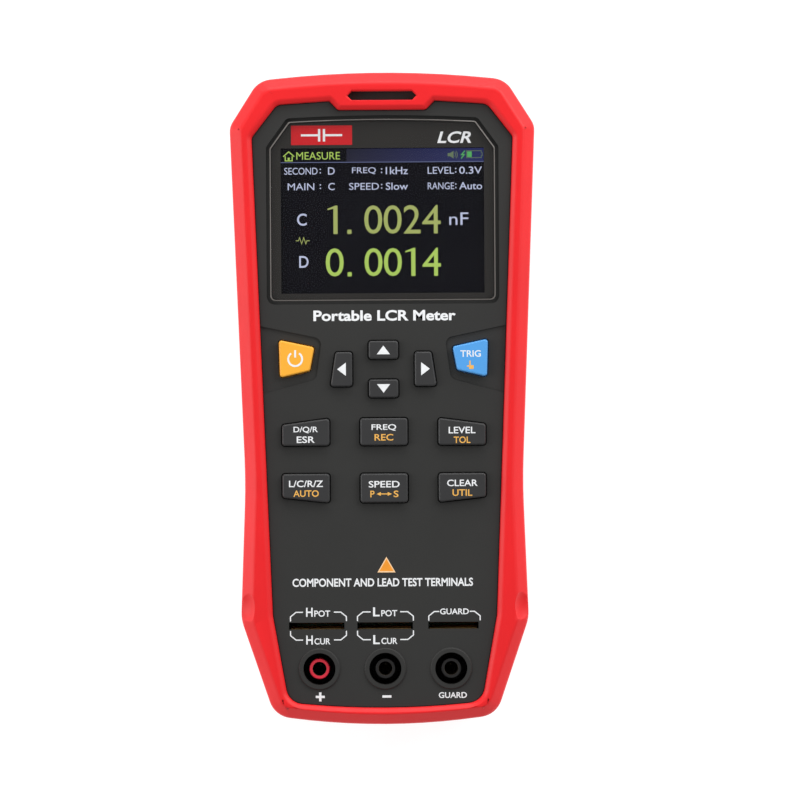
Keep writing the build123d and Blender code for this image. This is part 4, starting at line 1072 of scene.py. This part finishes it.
    def figure_one(self, x, y, tall):
        """The figure one: an upright with a thin flag, as the type's own is a plain bar."""
        low, high = y - tall / 2, y + tall / 2
        left, right, peak, tip = x - 0.0003, x + 0.0009, x + 0.0003, x - 0.0020
        flag_top, flag_low = high - 0.0009, high - 0.0013
        shape = [(left, low), (right, low), (right, high), (peak, high)]
        return outlined([*shape, (tip, flag_top), (tip, flag_low), (left, flag_top)], PICTURE_Z)


# -------- face prints
BRACKET_RISE = 0.0040  # from the slots' middle line to a bracket


def on_face(name, piece, finish="white_ink"):
    """Puts a printed marking on the face."""
    return mark(name, piece, finish, "case", "case_plastic")


class LCR_OT_prints(bpy.types.Operator):
    """Prints the face: title, brackets round the slots and signs under the sockets."""

    bl_idname = "lcr_meter.prints"
    bl_label = "Print Face"

    def execute(self, context):
        self.words("face_title", "Portable LCR Meter", 0.0004, 0.0239, 0.0031, 0.0410, 0.028)
        terminals = "COMPONENT AND LEAD TEST TERMINALS"
        self.words("terminal_words", terminals, -0.0006, -0.0530, 0.0024, 0.0520, 0.022)
        self.pointer()
        self.brackets()
        self.socket_signs()
        return {"FINISHED"}

    def words(self, name, text, x, y, height, width, bold):
        """White words on the face."""
        on_face(name, printed(text, x, y, FACE_PRINT_Z, height, width, bold))

    def pointer(self):
        """Plain amber triangle in a pale line over the terminal words."""
        on_face("pointer_line", triangle(0.0005, -0.0479, FACE_PRINT_Z, 0.0052, 0.0045), "pale_ink")
        on_face("pointer_fill", triangle(0.0005, -0.0480, FACE_Z + SUNK, 0.0041, 0.0035), "orange_ink")

    def brackets(self):
        """Cornered lines above and below the slots, open at their labels."""
        slots = (
            ("high", -0.0192, 0.0161, 0.0089, "H", "POT", "CUR"),
            ("low", 0.0001, 0.0161, 0.0085, "L", "POT", "CUR"),
            ("guard", 0.0200, 0.0148, 0.0088, "", "GUARD", ""),
        )
        for name, x, width, gap, big, upper, lower in slots:
            rows = ((1, "upper", upper), (-1, "lower", lower))
            for up, row, small in rows:
                if not small:
                    continue
                lines = [self.half_bracket(x, side, up, width, gap) for side in (-1, 1)]
                on_face(f"{name}_bracket_{row}", joined(lines))
                y = SLOT_Y + up * BRACKET_RISE
                if not big:
                    self.words(f"{name}_slot_label", small, x, y, 0.0017, 0.0083, 0.016)
                    continue
                self.words(f"{name}_{row}_initial", big, x - 0.0026, y, 0.0026, 0.0019, 0.02)
                self.words(f"{name}_{row}_label", small, x + 0.0011, y - 0.0004, 0.0018, 0.0046, 0.016)

    def half_bracket(self, x, side, up, width, gap):
        """One side of a bracket: along, round the cut corner and towards the slot."""
        far, run, fall = width / 2, 0.0016, 0.0013
        top = SLOT_Y + up * BRACKET_RISE
        points = [
            (x + side * gap / 2, top),
            (x + side * (far - run), top),
            (x + side * far, top - up * fall),
            (x + side * far, top - up * 0.0026),
        ]
        return stroke(points, FACE_PRINT_Z, 0.00032)

    def socket_signs(self):
        """Plus, minus and the guard's word under the sockets."""
        z, y = FACE_PRINT_Z, SOCKET_Y - 0.0080
        x, long, short = -0.0188, 0.0013, 0.00034
        quarter = [(long, -short), (long, short), (short, short)]
        plus = [(x + across, y + up) for across, up in quarter]
        for _ in range(3):
            quarter = [(-up, across) for across, up in quarter]
            plus += [(x + across, y + up) for across, up in quarter]
        on_face("plus_sign", outlined(plus, z))
        on_face("minus_sign", slab(0.0004, y, z, 0.0026, 0.00068))
        self.words("guard_socket_label", "GUARD", 0.0194, y + 0.0003, 0.0017, 0.0081, 0.016)


# -------- kept nodes
class LCR_OT_inner_parts(bpy.types.Operator):
    """Gives the frame's own parts their materials."""

    bl_idname = "lcr_meter.inner_parts"
    bl_label = "Finish Inner Parts"

    def execute(self, context):
        slots = {part["node"]: part["material_slot"] for part in frame["record"]["subparts"]}
        for name, node in frame["nodes"].items():
            if node.hide_render:
                continue
            finish = slots[name]
            if name.endswith("_socket_contact"):
                finish = "socket_metal"
            if name.endswith("_slot_contacts"):
                finish = "slot_bronze"
            node.data.materials.clear()
            node.data.materials.append(material(finish))
        return {"FINISHED"}


# -------- stage
FLOOR_Z = -0.0002
CAMERA_X, CAMERA_Y, CAMERA_TURN = 0.0047, -0.0005, -0.36
AIM = (0, 0, 0.02)


def soft_light(name, place_at, aim, size, power):
    """A square softbox aimed at a point."""
    deselect()
    bpy.ops.object.light_add(type="AREA", location=place_at)
    light = bpy.context.object
    light.name = name
    light.data.shape = "RECTANGLE"
    light.data.size, light.data.size_y = size
    light.data.energy = power
    direction = Vector(aim) - Vector(place_at)
    light.rotation_euler = direction.to_track_quat("-Z", "Y").to_euler()
    return light


class LCR_OT_stage(bpy.types.Operator):
    """Builds the floor, the lights and the camera."""

    bl_idname = "lcr_meter.stage"
    bl_label = "Build Stage"

    def execute(self, context):
        values = settings().stage
        deselect()
        bpy.ops.mesh.primitive_plane_add(size=6, location=(0, 0, FLOOR_Z))
        floor = bpy.context.object
        floor.name = "floor"
        floor.data.materials.append(material("floor_pale"))
        settle(floor)
        soft_light("key_light", (0.75, 0.55, 0.55), AIM, (0.7, 0.7), 7.0)
        soft_light("fill_light", (-0.85, 0.05, 0.45), AIM, (0.6, 0.9), 5.0)
        soft_light("top_light", (0.0, 0.95, 0.40), (0, 0.05, 0.02), (0.9, 0.4), 6.0)
        world = bpy.data.worlds.new("studio")
        world.use_nodes = True
        fill(world.node_tree.nodes["Background"], Color=(1, 1, 1, 1), Strength=0.45)
        context.scene.world = world
        context.scene.view_settings.view_transform = "Standard"
        camera_data = bpy.data.cameras.new("camera")
        camera = bpy.data.objects.new("camera", camera_data)
        context.scene.collection.objects.link(camera)
        camera_data.sensor_width = SENSOR_WIDTH
        camera_data.lens = SENSOR_WIDTH * values.camera_distance / values.view_width
        camera_data.clip_end = 20.0
        camera.location = (CAMERA_X, CAMERA_Y, FACE_Z + values.camera_distance)
        camera.rotation_euler = (0, 0, math.radians(CAMERA_TURN))
        context.scene.camera = camera
        return {"FINISHED"}


# -------- add-on
class MeterSettings(bpy.types.PropertyGroup):
    holster: bpy.props.PointerProperty(type=HolsterSettings, name="Holster", description="Rubber holster")
    case: bpy.props.PointerProperty(type=CaseSettings, name="Case", description="Plastic case")
    keys: bpy.props.PointerProperty(type=KeySettings, name="Keys", description="Rubber keys")
    display: bpy.props.PointerProperty(type=DisplaySettings, name="Display", description="Lit display")
    stage: bpy.props.PointerProperty(type=StageSettings, name="Stage", description="Camera and floor")


BUILDERS = (
    LCR_OT_holster,
    LCR_OT_case,
    LCR_OT_keys,
    LCR_OT_display,
    LCR_OT_prints,
    LCR_OT_inner_parts,
    LCR_OT_stage,
)


class LCR_PT_panel(bpy.types.Panel):
    """Lists the meter's builders."""

    bl_label = "LCR Meter"
    bl_idname = "LCR_PT_panel"
    bl_space_type = "VIEW_3D"
    bl_region_type = "UI"
    bl_category = "LCR Meter"

    def draw(self, context):
        for builder in BUILDERS:
            self.layout.operator(builder.bl_idname)


CLASSES = (
    HolsterSettings,
    CaseSettings,
    KeySettings,
    DisplaySettings,
    StageSettings,
    MeterSettings,
    *BUILDERS,
    LCR_PT_panel,
)


def register():
    for item in CLASSES:
        bpy.utils.register_class(item)
    bpy.types.Scene.lcr_meter = bpy.props.PointerProperty(type=MeterSettings)


def unregister():
    del bpy.types.Scene.lcr_meter
    for item in reversed(CLASSES):
        bpy.utils.unregister_class(item)


def main():
    register()
    bpy.ops.lcr_meter.holster()
    bpy.ops.lcr_meter.case()
    bpy.ops.lcr_meter.keys()
    bpy.ops.lcr_meter.display()
    bpy.ops.lcr_meter.prints()
    bpy.ops.lcr_meter.inner_parts()
    bpy.ops.lcr_meter.stage()


if __name__ == "__main__":
    main()
